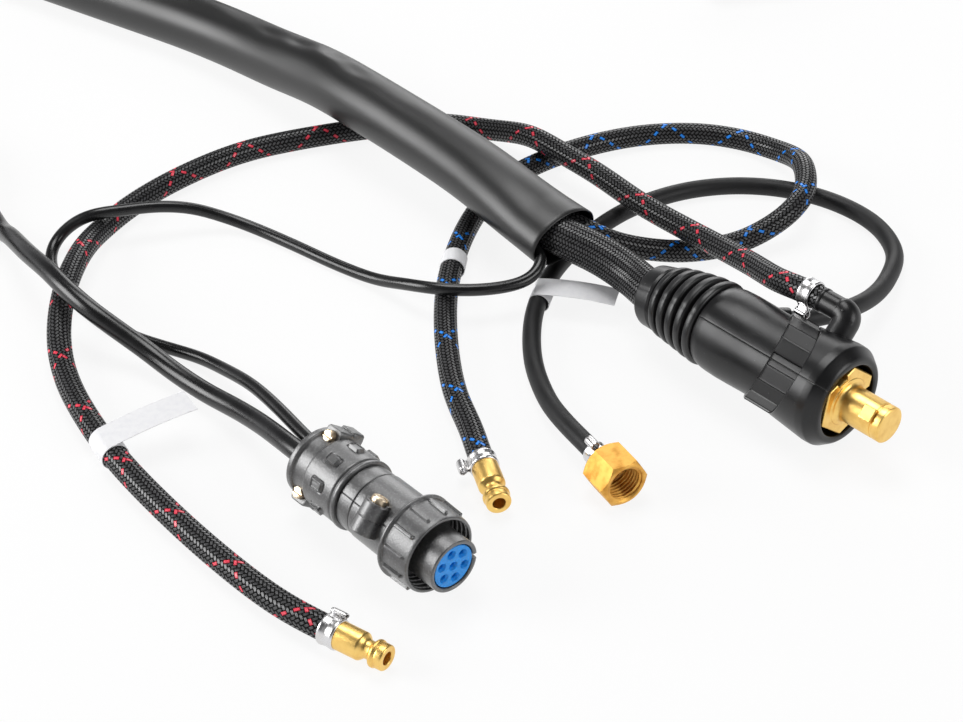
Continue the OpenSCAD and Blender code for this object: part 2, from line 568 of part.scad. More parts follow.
module plug_shell() color([0.19, 0.19, 0.195]) in_plug_frame() difference() {
    union() {
        turned([[shell_z, shell_d / 2 - 0.5], [shell_z + 6, shell_d / 2 - 0.3],
            [shell_z + 6, shell_d / 2 - 0.9], [shell_z + 6.7, shell_d / 2 - 0.9],
            [shell_z + 6.7, shell_d / 2], [ring_z - gap, shell_d / 2]]);
        tower(tower_d, tower_top - 11, tower_top);
    }
    translate([0, 0, ring_z - 10 - fit]) cylinder(d = seat_d + 2 * fit, h = 40);
    translate([0, 0, shell_z - 1]) cylinder(d = barrel_d - 2, h = 40);
    tower(3, tower_top - 7.5, tower_top + 2.5);
    tower(screw_head_d + 2 * gap, tower_top, 12);
}
module shell_screw() color([0.85, 0.75, 0.4]) in_plug_frame() difference() {
    union() {
        tower(3 - 2 * fit, tower_top - 7.3, tower_top + 0.1);
        tower(screw_head_d, tower_top + 0.1, tower_top + 2.1);
    }
    rotate([0, 0, 90 + seam_turn]) translate([12, 0, -28]) rotate([90, 0, 0])
        translate([-4, -0.4, tower_top + 1.2]) cube([8, 0.8, 2]);
}
module plug_back() color([0.2, 0.2, 0.205]) in_plug_frame() difference() {
    union() {
        turned([[neck_z, flange_r], [neck_z + 2.4, flange_r], [neck_z + 2.6, neck_d / 2],
            [back_z, neck_d / 2], [back_z + 0.4, back_d / 2 - 0.3], [shell_z - 2.2, back_d / 2 - 0.2],
            [shell_z - 2, back_d / 2], [shell_z, back_d / 2 - 0.4]]);
        for (a = [0:45:315]) rotate(a + 20) translate([back_d / 2 - 1.1, 0, (back_z + shell_z) / 2 - 1])
            rotate([0, 90, 0]) linear_extrude(1.8) square([4.6, 2.6], center = true);
    }
    translate([0, 0, neck_z - 1]) cylinder(d = neck_d - 4, h = lead_in + 1);
    for (w = [-bar_side, bar_side]) rotate(90 + seam_turn) translate([-2, w, neck_z + 4.7]) rotate([0, 90, 0])
        cylinder(d = 6, h = 30, center = true);
}
module plug_saddle() color([0.2, 0.2, 0.205]) in_plug_frame() rotate(90 + seam_turn) difference() {
    for (w = [-1, 1]) translate([-6.6, w * bar_side, neck_z + 4.9]) rotate([0, 90, 0]) {
        cylinder(d = 5.6, h = 9);
        translate([-2.2, w > 0 ? 0 : -3.2, 0]) cube([4.4, 3.2, 9]);
    }
    for (w = [-bar_side, bar_side]) translate([-8, w, neck_z + 4.9]) rotate([0, 90, 0]) cylinder(d = 3, h = 30);
}
module saddle_screws() color([0.85, 0.75, 0.4]) in_plug_frame() rotate(90 + seam_turn)
    for (w = [-bar_side, bar_side]) translate([-6.4, w, neck_z + 4.9]) rotate([0, 90, 0]) {
        cylinder(d = 3 - 2 * fit, h = 8.9);
        translate([0, 0, 8.9]) cylinder(d = 4.6, h = 2.4);
    }

// ---- cover sleeve over the bundle
module cover_sleeve() color([0.13, 0.13, 0.135]) difference() {
    tube(sleeve_route, sleeve_w, 12, sleeve_h);
    tube([mouth - (mouth_run - mouth) * 0.2, mouth, mouth_run],
        mouth_w / 2 - sleeve_wall, 12, mouth_h / 2 - sleeve_wall);
}
module cover_coil() color([0.13, 0.13, 0.135]) tube(cover_spiral, sleeve_d / 2, 6);
module cover_tail() color([0.13, 0.13, 0.135]) tube(tail_route, sleeve_d / 2, 12);

// ---- handle, along +X from the end of the sleeve
module handle_frame() along(handle_at) children();
gland_len = 16;
module handle_gland() color([0.1, 0.1, 0.105]) handle_frame()
    turned([[0, handle_d / 2 - 2], [4, handle_d / 2 - 1], [gland_len - 4, handle_d / 2 - 1],
        [gland_len - 4, handle_d / 2 - handle_wall - 1.7], [gland_len, handle_d / 2 - handle_wall - 1.7]]);
handle_z = gland_len - 4 + gap / 3;
handle_end = handle_z + handle_len;
button_z = handle_z + handle_len - 70;
nose_r = handle_d / 2 - 4;
module handle_solid(shrink) turned([[handle_z, handle_d / 2 - 1.5 - shrink],
    [handle_z + 10, handle_d / 2 - shrink], [handle_end - 40, handle_d / 2 - shrink],
    [handle_end - 12, nose_r - shrink], [handle_end, nose_r - shrink]]);
module button_window(clear, low, high) translate([-5 - clear, low, button_z - clear])
    cube([10 + 2 * clear, high - low, button_len + 2 * clear]);
// Each screw's place along the handle, and the handle's radius there
screw_places = [[handle_z + 22, handle_d / 2], [handle_end - 22, nose_r + (handle_d / 2 - nose_r) * 10 / 28]];
module across(z, side, d, from, to) translate([0, side * from, z]) rotate([-90 * side, 0, 0])
    cylinder(d = d, h = to - from);
module handle_half(side) handle_frame() difference() {
    union() {
        difference() {
            handle_solid(0);
            handle_solid(handle_wall);
            translate([-50, side > 0 ? -100 : 0, -1]) cube([100, 100, handle_end + 10]);
        }
        for (q = screw_places) across(q[0], side, 7, 0, q[1] - handle_wall + 0.6);
    }
    if (side < 0) button_window(gap, -handle_d, 0);
    for (q = screw_places) across(q[0], side, 3, -1, side > 0 ? handle_d : 8);
    if (side > 0) for (q = screw_places) across(q[0], side, 6, q[1] - 1.6, handle_d);
}
module handle_left() color([0.12, 0.12, 0.125]) handle_half(-1);
module handle_right() color([0.12, 0.12, 0.125]) handle_half(1);
module handle_screws() color([0.6, 0.6, 0.62]) handle_frame() for (q = screw_places) {
    across(q[0], 1, 3 - 2 * fit, -7, q[1] - 1.5);
    across(q[0], 1, 5.6, q[1] - 1.6, q[1] - 0.4);
}
module inlet_block() color([0.8, 0.6, 0.3]) handle_frame()
    translate([-8, -1, handle_z + 30]) cube([16, handle_d / 2 - handle_wall - 1.8, 24]);
switch_y = -6.4;
module micro_switch() color([0.1, 0.1, 0.1]) handle_frame() {
    translate([-3.2, switch_y, button_z + 3]) cube([6.4, 6, button_len - 6]);
    translate([-2, switch_y + 5, button_z + 8]) cube([4, handle_d / 2 - handle_wall - 0.2 - switch_y - 5, 6]);
}
module switch_button() color([0.75, 0.1, 0.08]) handle_frame() {
    lip = -handle_d / 2 + handle_wall + 2.2;
    button_window(0, -handle_d / 2 - 1.4, lip + 0.1);
    translate([-6.6, lip, button_z - 1.6]) cube([13.2, 1.4, button_len + 3.2]);
}

// ---- head, along the nozzle's axis
head_at = handle_at + [handle_end + head_reach, 0, 0];
module head_frame() along(head_at, head_angle) children();
core_d = 11;
core_bore = 8.4;
cap_front = -head_len / 2 - 1.6;
seat_z = head_len / 2 + 4;
nozzle_z = seat_z + 0.2;
body_end = seat_z + 22;
tip_z = nozzle_z + nozzle_len + stick_out;
module head_cover() color([0.11, 0.11, 0.115]) difference() {
    union() {
        head_frame() turned([[-head_len / 2, head_d / 2 - 1.5], [-head_len / 2 + 1.5, head_d / 2],
            [head_len / 2 - 1.5, head_d / 2], [head_len / 2, head_d / 2 - 1.5]]);
        along(handle_at + [handle_end - 8, 0, 0])
            turned([[0, nose_r - handle_wall - fit], [8 + gap, nose_r - handle_wall - fit],
                [14, nose_r - 1], [head_reach + 8, 8.5]]);
    }
    head_frame() cylinder(d = core_d + 2 * fit, h = 200, center = true);
}
module head_core() color([0.8, 0.6, 0.3]) head_frame()
    pipe(core_d, core_bore, head_len - 1, -head_len / 2 + 0.5);
module head_insulator() color([0.9, 0.88, 0.82]) head_frame()
    pipe(nozzle_d + 1, 10.2 + 2 * fit, seat_z - head_len / 2, head_len / 2);
module collet_body() color([0.75, 0.42, 0.25]) head_frame() difference() {
    turned([[0, core_bore / 2 - fit], [head_len / 2 - 0.2, core_bore / 2 - fit],
        [head_len / 2 - 0.2, 5.1], [seat_z + 8, 5.1], [seat_z + 8, 4.7], [body_end - 2, 4.7],
        [body_end, 3]]);
    translate([0, 0, -1]) cylinder(r = 2.4, h = body_end - 4);
    cylinder(d = tungsten_d + 0.6, h = 100);
}
module collet() color([0.75, 0.42, 0.25]) head_frame()
    pipe(4.7, tungsten_d + 0.1, body_end - 5.6 + 8, -8);
module tungsten() color([0.45, 0.45, 0.47]) head_frame()
    turned([[cap_front - cap_len + 6, tungsten_d / 2], [tip_z - 5, tungsten_d / 2], [tip_z, 0.2]]);
module nozzle() color([0.85, 0.5, 0.45]) head_frame() difference() {
    turned([[nozzle_z, nozzle_d / 2], [nozzle_z + 14, nozzle_d / 2],
        [nozzle_z + 20, nozzle_d / 2 - 1.2], [nozzle_z + nozzle_len, nozzle_d / 2 - 1.6]]);
    translate([0, 0, nozzle_z - 1]) cylinder(r = 5.15, h = 13);
    translate([0, 0, nozzle_z]) cylinder(r = 5, h = nozzle_len + 1);
}
module back_cap() color([0.1, 0.1, 0.105]) head_frame() difference() {
    union() {
        turned([[cap_front - cap_len, cap_d / 2 - 3], [cap_front - cap_len + 2, cap_d / 2 - 1.6],
            [cap_front - 8, cap_d / 2], [cap_front, cap_d / 2]]);
        translate([0, 0, cap_front]) cylinder(d = core_bore - 2 * fit, h = -8 - gap - cap_front);
        for (k = [0:7]) rotate(k * 45) translate([cap_d / 2 - 0.6, -0.7, cap_front - 7]) cube([1, 1.4, 6]);
    }
    translate([0, 0, cap_front - cap_len + 4]) cylinder(d = tungsten_d + 0.2, h = 100);
}
module cap_seal() color([0.15, 0.15, 0.15]) head_frame()
    pipe(core_d + 1.6, core_bore + 2 * fit, 1.2, cap_front + 0.3);

// The hexagon's face becomes the origin
translate([-seat_x, 0, 0]) {
    plug_housing();
    plug_boot();
    power_pin();
    power_ferrule();
    power_cable();
    water_elbow();
    elbow_clamp();
    water_out_hose();
    water_out_clamp();
    water_out_nipple();
    water_out_label();
    water_in_hose();
    water_in_clamp();
    water_in_nipple();
    water_in_label();
    gas_hose();
    gas_clamp();
    gas_tail();
    gas_nut();
    gas_label();
    switch_lead();
    remote_lead();
    remote_coil();
    remote_socket();
    remote_insert();
    plug_barrel();
    plug_insert();
    plug_contacts();
    plug_ring();
    plug_shell();
    plug_back();
    plug_saddle();
    saddle_screws();
    shell_screw();
    cover_sleeve();
    cover_coil();
    cover_tail();
    handle_gland();
    handle_left();
    handle_right();
    handle_screws();
    inlet_block();
    micro_switch();
    switch_button();
    head_cover();
    head_core();
    head_insulator();
    collet_body();
    collet();
    tungsten();
    nozzle();
    back_cap();
    cap_seal();
}
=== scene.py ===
import json
import math

import bpy
import numpy as np
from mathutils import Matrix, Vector


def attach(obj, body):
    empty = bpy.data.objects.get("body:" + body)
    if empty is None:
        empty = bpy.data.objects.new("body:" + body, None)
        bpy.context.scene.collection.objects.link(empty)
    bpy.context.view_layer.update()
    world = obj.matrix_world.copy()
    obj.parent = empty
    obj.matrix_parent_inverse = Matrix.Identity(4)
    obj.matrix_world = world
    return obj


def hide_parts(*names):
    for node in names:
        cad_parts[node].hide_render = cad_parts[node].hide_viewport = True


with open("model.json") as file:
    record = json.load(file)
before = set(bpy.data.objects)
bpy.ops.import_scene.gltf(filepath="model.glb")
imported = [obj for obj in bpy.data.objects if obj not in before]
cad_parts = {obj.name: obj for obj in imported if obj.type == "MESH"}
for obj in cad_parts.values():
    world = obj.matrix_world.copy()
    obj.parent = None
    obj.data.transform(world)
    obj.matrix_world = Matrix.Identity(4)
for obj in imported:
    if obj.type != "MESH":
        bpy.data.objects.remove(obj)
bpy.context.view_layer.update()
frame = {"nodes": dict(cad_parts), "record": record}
nodes = frame["nodes"]
mm = 0.001
floorZ = -18.5  # millimetres, as all sizes of the pieces below
seatX = 2.2  # the origin stands this far in front of the datum that the pieces are measured from


def metres(points):
    return (np.asarray(points, float) - [seatX, 0, 0]) * mm


# view
cameraSet = {"place": (0.3526, -0.4897, 0.46215), "tilt": 53.0, "turn": 47.3, "lens": 85.0, "sensor": 36.0}


def makeCamera():
    data = bpy.data.cameras.new("view")
    data.lens, data.sensor_width = cameraSet["lens"], cameraSet["sensor"]
    data.clip_end = 50
    view = bpy.data.objects.new("view", data)
    view.location = cameraSet["place"]
    view.rotation_euler = (math.radians(cameraSet["tilt"]), 0, math.radians(cameraSet["turn"]))
    bpy.context.scene.collection.objects.link(view)
    bpy.context.scene.camera = view


# shader maths
class Wire:  # one output socket; the usual operators add Math nodes
    def __init__(self, tree, socket):
        self.tree, self.socket = tree, socket

    def maths(self, operation, *values):
        return self.tree.node("ShaderNodeMath", {"operation": operation}, *values)

    def __add__(self, other):
        return self.maths("ADD", self, other)

    def __radd__(self, other):
        return self.maths("ADD", other, self)

    def __sub__(self, other):
        return self.maths("SUBTRACT", self, other)

    def __rsub__(self, other):
        return self.maths("SUBTRACT", other, self)

    def __mul__(self, other):
        return self.maths("MULTIPLY", self, other)

    def __rmul__(self, other):
        return self.maths("MULTIPLY", other, self)

    def __mod__(self, other):
        return self.maths("FLOORED_MODULO", self, other)

    def __pow__(self, other):
        return self.maths("POWER", self, other)

    def __lt__(self, other):
        return self.maths("LESS_THAN", self, other)

    def other(self, name):  # another output of the same node
        return Wire(self.tree, self.socket.node.outputs[name])

    def floor(self):
        return self.maths("FLOOR", self)

    def fract(self):
        return self.maths("FRACT", self)

    def high(self, other):
        return self.maths("MAXIMUM", self, other)

    def span(self, low, high, to0=0.0, to1=1.0):  # eased step from low to high
        return self.tree.node("ShaderNodeMapRange", {"interpolation_type": "SMOOTHSTEP"},
                              self, low, high, to0, to1)


class Tree:  # the nodes of one material or of the room
    def __init__(self, tree):
        self.nodes, self.links = tree.nodes, tree.links

    def node(self, kind, settings=None, *values, pick=0, **named):
        # Values go to the sockets in their order, named ones by name; gives the picked output.
        made = self.nodes.new(kind)
        for key, value in (settings or {}).items():
            if key == "stops":
                for i, (at, shade) in enumerate(value):
                    stop = made.color_ramp.elements[i] if i < 2 else made.color_ramp.elements.new(at)
                    stop.position, stop.color = at, (*shade, 1.0)
            else:
                setattr(made, key, value)
        pairs = list(zip([socket for socket in made.inputs if socket.enabled], values))
        pairs += [(made.inputs[key.replace("_", " ")], value) for key, value in named.items()]
        for socket, value in pairs:
            if isinstance(value, Wire):
                self.links.new(value.socket, socket)
            elif value is not None:
                socket.default_value = value
        if isinstance(pick, str):
            return Wire(self, made.outputs[pick])
        return Wire(self, [socket for socket in made.outputs if socket.enabled][pick])


class Finish(Tree):  # one material with its Principled shader
    def __init__(self, name, **fixed):
        self.material = bpy.data.materials.new(name)
        self.material.use_nodes = True
        super().__init__(self.material.node_tree)
        self.shader = self.nodes["Principled BSDF"]
        for socket, value in fixed.items():
            self.shader.inputs[socket.replace("_", " ")].default_value = value

    def put(self, **wires):
        for key, value in wires.items():
            self.links.new(value.socket, self.shader.inputs[key.replace("_", " ")])

    def mix(self, factor, first, second):
        first, second = [v if isinstance(v, Wire) else (*v, 1.0) for v in (first, second)]
        return self.node("ShaderNodeMix", {"data_type": "RGBA"}, factor, first, second)

    def place(self, *scale):  # object coordinates in millimetres, stretched by scale
        spot = self.node("ShaderNodeTexCoord", pick="Object")
        stretch = [1000 * s for s in (scale or (1, 1, 1))]
        return self.node("ShaderNodeMapping", {"vector_type": "POINT"}, spot, Scale=stretch)

    def noise(self, where, scale, detail=2.0, rough=0.5):
        return self.node("ShaderNodeTexNoise", None, Vector=where, Scale=scale, Detail=detail,
                         Roughness=rough)

    def bump(self, height, depth, strength=1.0, under=None):  # depth in millimetres for a height of 1
        return self.node("ShaderNodeBump", None, Strength=strength, Distance=depth * mm, Height=height,
                         Normal=under)


# finishes
def blackBraid(name, lead, yarns, tracer=None, shade=0.05, split=0.4):
    # Two families of yarns wind the hose both ways, `lead` millimetres a turn. Each passes over two
    # and under two of the other family, so that they show as columns of slanting floats. A float is a
    # hill across times a hill along, and `split` parts it into two threads.
    f = Finish(name, Specular_IOR_Level=0.1, Coat_Roughness=0.3, Coat_IOR=1.5)
    spot = f.node("ShaderNodeSeparateXYZ", None, f.node("ShaderNodeUVMap", {"uv_map": "run"}))
    run = spot * (1000.0 / lead * yarns)
    turn = spot.other("Y") * float(yarns)
    a, b = run + turn, run - turn
    yarnA, yarnB = a.floor(), b.floor()
    overA = ((yarnA - yarnB) % 4.0) < 1.5
    alongA = ((yarnA - b + 1.0) % 4.0) * 0.5
    alongB = ((a - yarnB - 2.0) % 4.0) * 0.5
    hill = lambda t: (t * (1.0 - t)).high(0.0) * 4.0
    across = overA * a.fract() + (1.0 - overA) * b.fract()
    along = overA * alongA + (1.0 - overA) * alongB
    threads = 1.0 - split * (1.0 - hill((across * 2.0).fract()) ** 0.6)
    lump = (hill(across) ** 0.5) * (hill(along) ** 0.5)
    grain = f.noise(f.place(), 0.9, 2.0)
    height = lump * threads * (0.75 + 0.5 * grain)
    tops = height.span(0.42, 0.88)
    # The gaps between the floats are painted nearly black as painted shade; the tops keep the yarn's own
    # shade.
    tone = f.mix(tops, (0.0015,) * 3, (shade, shade, shade * 1.05))
    if tracer:
        mark = overA * ((yarnA % float(yarns)) < 0.5) + (1.0 - overA) * ((yarnB % float(yarns)) < 0.5)
        # The tracer is painted down to half its colour towards the ends and sides of each float: painted
        # shade on the rounded bead.
        thread = f.mix(lump, tuple(c * 0.5 for c in tracer), tracer)
        tone = f.mix(mark * hill(along).span(0.1, 0.3), tone, thread)
    f.put(Base_Color=tone, Roughness=0.8 - 0.35 * tops, Coat_Weight=tops, Normal=f.bump(height, 0.3, 0.8))
    return f.material


def smoothRubber(name, shade, rough, speck=0.0, gloss=0.5):
    # Cloudy black rubber with a fine grain; `speck` strews pale dust on it.
    f = Finish(name, Specular_IOR_Level=gloss)
    spot = f.place()
    cloud = f.noise(spot, 0.08, 3.0)
    fine = f.noise(spot, 2.4, 4.0, 0.6)
    tone = f.mix(cloud.span(0.3, 0.7), tuple(c * 0.82 for c in shade), tuple(c * 1.18 for c in shade))
    if speck:
        dust = f.noise(spot, 1.3, 2.0).span(0.72, 0.8) * speck
        tone = f.mix(dust, tone, (0.3, 0.3, 0.3))
    f.put(Base_Color=tone, Roughness=cloud.span(0.2, 0.8, rough - 0.05, rough + 0.06) + 0.05 * fine,
          Normal=f.bump(fine, 0.01, 0.6))
    return f.material


def sparkPlastic(name, shade, rough, grain=0.9, depth=0.06, paintedLightAndShade=0.5, glint=0.5):
    # Moulded plastic with the grain of a spark-eroded mould: small rounded bumps, with a painted
    # highlight on their tops and painted shade between them, as strong as the argument after the depth.
    # A glint above 1 adds a clear coat.
    f = Finish(name, Specular_IOR_Level=min(glint, 1.0), Coat_Weight=max(glint - 1.0, 0.0),
               Coat_Roughness=rough + 0.06)
    spot = f.place()
    cell = f.node("ShaderNodeTexVoronoi", {"feature": "SMOOTH_F1"}, Vector=spot, Scale=1.0 / grain,
                  Smoothness=0.6)
    lump = (1.0 - cell).high(0.0)
    fine = f.noise(spot, 1.6, 3.0, 0.6)
    # painted highlight on the grain's tops and painted shade in its hollows
    tone = f.mix((lump * fine).span(0.22, 0.5), tuple(c * (1 - 0.6 * paintedLightAndShade) for c in shade),
                 tuple(c * (1 + 1.6 * paintedLightAndShade) for c in shade))
    f.put(Base_Color=tone, Roughness=rough + 0.12 * fine, Normal=f.bump(lump * 0.7 + fine * 0.5, depth, 0.8))
    return f.material


def turnedMetal(name, shade, rough, stain=0.25, groove=0.004):
    # Turned metal with cloudy stains, darker and redder where they lie.
    f = Finish(name, Metallic=1.0)
    spot = f.place()
    cloud = f.noise(spot, 0.22, 4.0, 0.6)
    fine = f.noise(spot, 3.0, 3.0, 0.7)
    stained = tuple(c * k for c, k in zip(shade, (0.72, 0.6, 0.45)))
    f.put(Base_Color=f.mix(cloud.span(0.35, 0.75) * stain, shade, stained),
          Roughness=rough + 0.12 * cloud.span(0.3, 0.8) + 0.06 * fine, Normal=f.bump(fine, groove, 0.5))
    return f.material


def coverSkin(name):
    # Soft sheathing: long shallow creases under a fine grain.
    f = Finish(name, Specular_IOR_Level=0.65)
    spot = f.place()
    cloud = f.noise(spot, 0.03, 3.0)
    crease = f.noise(f.place(0.6, 1.6, 1.0), 0.05, 2.0, 0.45)
    fine = f.noise(spot, 1.8, 3.0, 0.6)
    tone = f.mix(cloud.span(0.3, 0.7), (0.0055, 0.0055, 0.0055), (0.008, 0.008, 0.008))
    f.put(Base_Color=tone, Roughness=0.36 + 0.08 * cloud,
          Normal=f.bump(fine, 0.012, 0.5, f.bump(crease, 0.4, 0.4)))
    return f.material


def whiteTape(name):
    f = Finish(name)
    fine = f.noise(f.place(), 0.5, 3.0)
    f.put(Base_Color=f.mix(fine.span(0.3, 0.8), (0.77, 0.77, 0.78), (0.72, 0.72, 0.74)),
          Roughness=0.35 + 0.15 * fine, Normal=f.bump(fine, 0.05, 0.5))
    return f.material


finishes = {}


def makeFinishes():
    finishes.update({
        "housing_rubber": smoothRubber("housingRubber", (0.008, 0.008, 0.0085), 0.3, 0.25, 0.4),
        "boot_rubber": smoothRubber("bootRubber", (0.010, 0.010, 0.0105), 0.32, 0.2),
        "brass": turnedMetal("brass", (0.95, 0.64, 0.2), 0.3, 0.5, 0.008),
        "steel": turnedMetal("steel", (0.72, 0.72, 0.73), 0.2, 0.2),
        "zinc_yellow": turnedMetal("zincYellow", (0.74, 0.63, 0.48), 0.26, 0.6),
        "copper": turnedMetal("copper", (0.86, 0.5, 0.32), 0.2),
        "tungsten": turnedMetal("tungsten", (0.42, 0.42, 0.44), 0.35),
        "braid": blackBraid("powerBraid", 34.0, 28),
        "hose_rubber": smoothRubber("hoseRubber", (0.009, 0.009, 0.0095), 0.48, 0.0, 0.35),
        "sleeve": coverSkin("coverSkin"),
        "label": whiteTape("whiteTape"),
        "plug_plastic": sparkPlastic("plugPlastic", (0.04, 0.04, 0.041), 0.34, 0.8, 0.09, 0.6, 2.0),
        "insert_blue": sparkPlastic("insertBlue", (0.006, 0.27, 0.78), 0.35, 1.2, 0.01, 0.1),
        "handle_plastic": sparkPlastic("handlePlastic", (0.03, 0.03, 0.032), 0.45, 0.6, 0.04, 0.3),
        "button_red": sparkPlastic("buttonRed", (0.62, 0.03, 0.02), 0.36, 1.0, 0.01, 0.1),
        "insulator": sparkPlastic("insulator", (0.78, 0.76, 0.7), 0.4, 1.0, 0.01, 0.05),
        "ceramic": sparkPlastic("ceramic", (0.72, 0.38, 0.32), 0.45, 0.7, 0.03, 0.12),
        # finishes of single pieces, which share a slot with others
        "redTracer": blackBraid("redTracerBraid", 32.0, 18, (0.85, 0.06, 0.10)),
        "blueTracer": blackBraid("blueTracerBraid", 31.0, 18, (0.02, 0.26, 0.9)),
        "wornBrass": turnedMetal("wornBrass", (0.8, 0.46, 0.11), 0.46, 1.0, 0.02),
        "leadRubber": smoothRubber("leadRubber", (0.008, 0.008, 0.0085), 0.24),
    })


# shapes
class Shape:  # grids of points, gathered into one mesh
    def __init__(self):
        self.points, self.faces, self.uvs, self.count = [], [], [], 0

    def grid(self, points, ends=True, uv=None):
        # Neighbouring rows and columns of the grid are joined by quads, and the last column to the
        # first. `ends` closes the first and the last row by a fan to the middle of the row.
        points = np.asarray(points, float)
        rows, cols = points.shape[:2]
        run, turns = uv or (np.arange(rows) * 1.0, cols)
        i, j = (k.ravel() for k in np.meshgrid(np.arange(rows - 1), np.arange(cols), indexing="ij"))
        k = (j + 1) % cols
        quads = np.stack([i * cols + j, i * cols + k, (i + 1) * cols + k, (i + 1) * cols + j], 1)
        u = np.stack([run[i], run[i], run[i + 1], run[i + 1]], 1)
        v = np.stack([j, j + 1, j + 1, j], 1) / turns
        self.points.append(points.reshape(-1, 3))
        self.faces.append(self.count + quads)
        self.uvs.append(np.stack([u, v], 2))
        start = self.count
        self.count += rows * cols
        for row in (0, rows - 1) if ends else ():
            here, after = start + row * cols + j[:cols], start + row * cols + k[:cols]
            if row == 0:
                here, after = after, here
            self.points.append(points[row].mean(0)[None])
            self.faces.append(np.stack([np.full(cols, self.count), here, after, after], 1))
            self.uvs.append(np.tile([run[row], 0.5], (cols, 4, 1)))
            self.count += 1
        return self

    def made(self, name, slot, body="lead", sharp=38, finish=None, replaces=()):
        points = metres(np.concatenate(self.points))
        faces, uvs = np.concatenate(self.faces), np.concatenate(self.uvs)
        triple = faces[:, 3] == faces[:, 2]
        corners = [q[:3] if t else q for q, t in zip(faces.tolist(), triple)]
        mesh = bpy.data.meshes.new(name)
        mesh.from_pydata(points, [], corners)
        keep = np.ones(faces.shape, bool)
        keep[triple, 3] = False
        mesh.uv_layers.new(name="run").data.foreach_set("uv", uvs[keep].astype(np.float32).ravel())
        mesh.polygons.foreach_set("use_smooth", np.ones(len(faces), bool))
        mesh.set_sharp_from_angle(angle=math.radians(sharp))
        mesh.materials.append(finish or finishes[slot])
        piece = bpy.data.objects.new(name, mesh)
        bpy.context.scene.collection.objects.link(piece)
        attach(piece, body)
        if replaces:
            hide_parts(*replaces)
        return piece


def rounded(corners, radius, steps=3):
    # Every inner corner of a line becomes a short parabola that starts and ends `radius` away from it.
    p = np.asarray(corners, float)
    r = np.broadcast_to(np.asarray(radius, float), (len(p),))[1:-1, None]
    before, after = p[:-2] - p[1:-1], p[2:] - p[1:-1]
    lb, la = np.linalg.norm(before, axis=1)[:, None], np.linalg.norm(after, axis=1)[:, None]
    start = p[1:-1] + before / lb * np.minimum(r, lb * 0.48)
    end = p[1:-1] + after / la * np.minimum(r, la * 0.48)
    t = np.linspace(0, 1, steps + 1)[None, :, None]
    arc = (1 - t) ** 2 * start[:, None] + 2 * t * (1 - t) * p[1:-1, None] + t ** 2 * end[:, None]
    return np.concatenate([p[:1], arc.reshape(-1, p.shape[1]), p[-1:]])


def step(value, low, high):  # eased from 0 at low to 1 at high
    t = np.clip((value - low) / (high - low), 0, 1)
    return t * t * (3 - 2 * t)


def hump(value, width):  # 1 at nought, and soon nothing past the width
    return np.exp(-(value / width) ** 2)


def evenTurns(sides):
    return np.arange(sides) / sides * 360


def apart(turns, at, every=360):
    # Degrees from each turn to the nearest mark; the marks stand `every` degrees apart, one of them `at`.
    return abs((turns - at + every / 2) % every - every / 2)


def seat(at, yaw=0.0, pitch=0.0):
    # Turns local +Z to the heading, with local X down and local Y to the left of it.
    y, p = math.radians(yaw), math.radians(90 - pitch)
    turnZ = np.array([[math.cos(y), -math.sin(y), 0], [math.sin(y), math.cos(y), 0], [0, 0, 1]])
    turnY = np.array([[math.cos(p), 0, math.sin(p)], [0, 1, 0], [-math.sin(p), 0, math.cos(p)]])
    return np.array(at, float), turnZ @ turnY


def facing(at, toward, upright):
    # A seat with local Z along `toward` and local X as near to `upright` as it can be.
    z = np.array(toward, float) / np.linalg.norm(toward)
    x = np.array(upright, float) - np.dot(upright, z) * z
    x /= np.linalg.norm(x)
    return np.array(at, float), np.stack([x, np.cross(z, x), z], 1)


def shifted(where, x=0.0, y=0.0, z=0.0):
    return where[0] + where[1] @ [x, y, z], where[1]


def radial(where, turn):
    # Unit direction at `turn` degrees from the left side of a seat towards its top.
    a = math.radians(turn + 90)
    return where[1] @ [math.cos(a), math.sin(a), 0]


def seated(points, where):
    return points @ where[1].T + where[0]


def ringGrid(places, radii, turns, where):
    # Rings about the axis, at these places along it; the radii may differ from turn to turn.
    a = np.radians(turns)
    r = np.broadcast_to(radii, (len(places), len(turns)))
    z = np.broadcast_to(np.asarray(places, float)[:, None], r.shape)
    return seated(np.stack([r * np.cos(a), r * np.sin(a), z], 2), where)


def turnedGrid(profile, where, sides=96, relief=None):
    # A line of (place, radius) pairs turned about the axis, with relief(place, turn) added to the radius.
    z, r = np.asarray(profile, float).T[..., None]
    turns = evenTurns(sides)
    return ringGrid(z[:, 0], r + relief(z, turns) if relief else r, turns, where)


def boxGrid(sections, where, radius, corner=5):
    # Rounded rectangles (place, half width, half depth) carried along local Z.
    a = (np.arange(4 * corner) + 0.5) / (4 * corner) * 2 * math.pi
    quarter = np.sign(np.stack([np.cos(a), np.sin(a)], 1))
    turn = np.linspace(0, math.pi / 2, corner)
    fine = np.concatenate([turn + k * math.pi / 2 for k in range(4)])
    rows = []
    for z, hx, hy in sections:
        k = min(radius, hx, hy)
        rows.append(np.stack([quarter[:, 0] * (hx - k) + k * np.cos(fine),
                              quarter[:, 1] * (hy - k) + k * np.sin(fine), np.full(len(fine), z)], 1))
    return seated(np.array(rows), where)


def block(z0, z1, hx, hy, edge=0.3):
    # Sections of a block from z0 to z1: its end faces and its rounded edges.
    ease = ((0, 1.5), (0, 1), (0.3, 0.3), (1, 0))  # rise and inset, as shares of the edge
    low = [(z0 + edge * rise, hx - edge * inset, hy - edge * inset) for rise, inset in ease]
    return low + [(z0 + z1 - z, x, y) for z, x, y in low[::-1]]


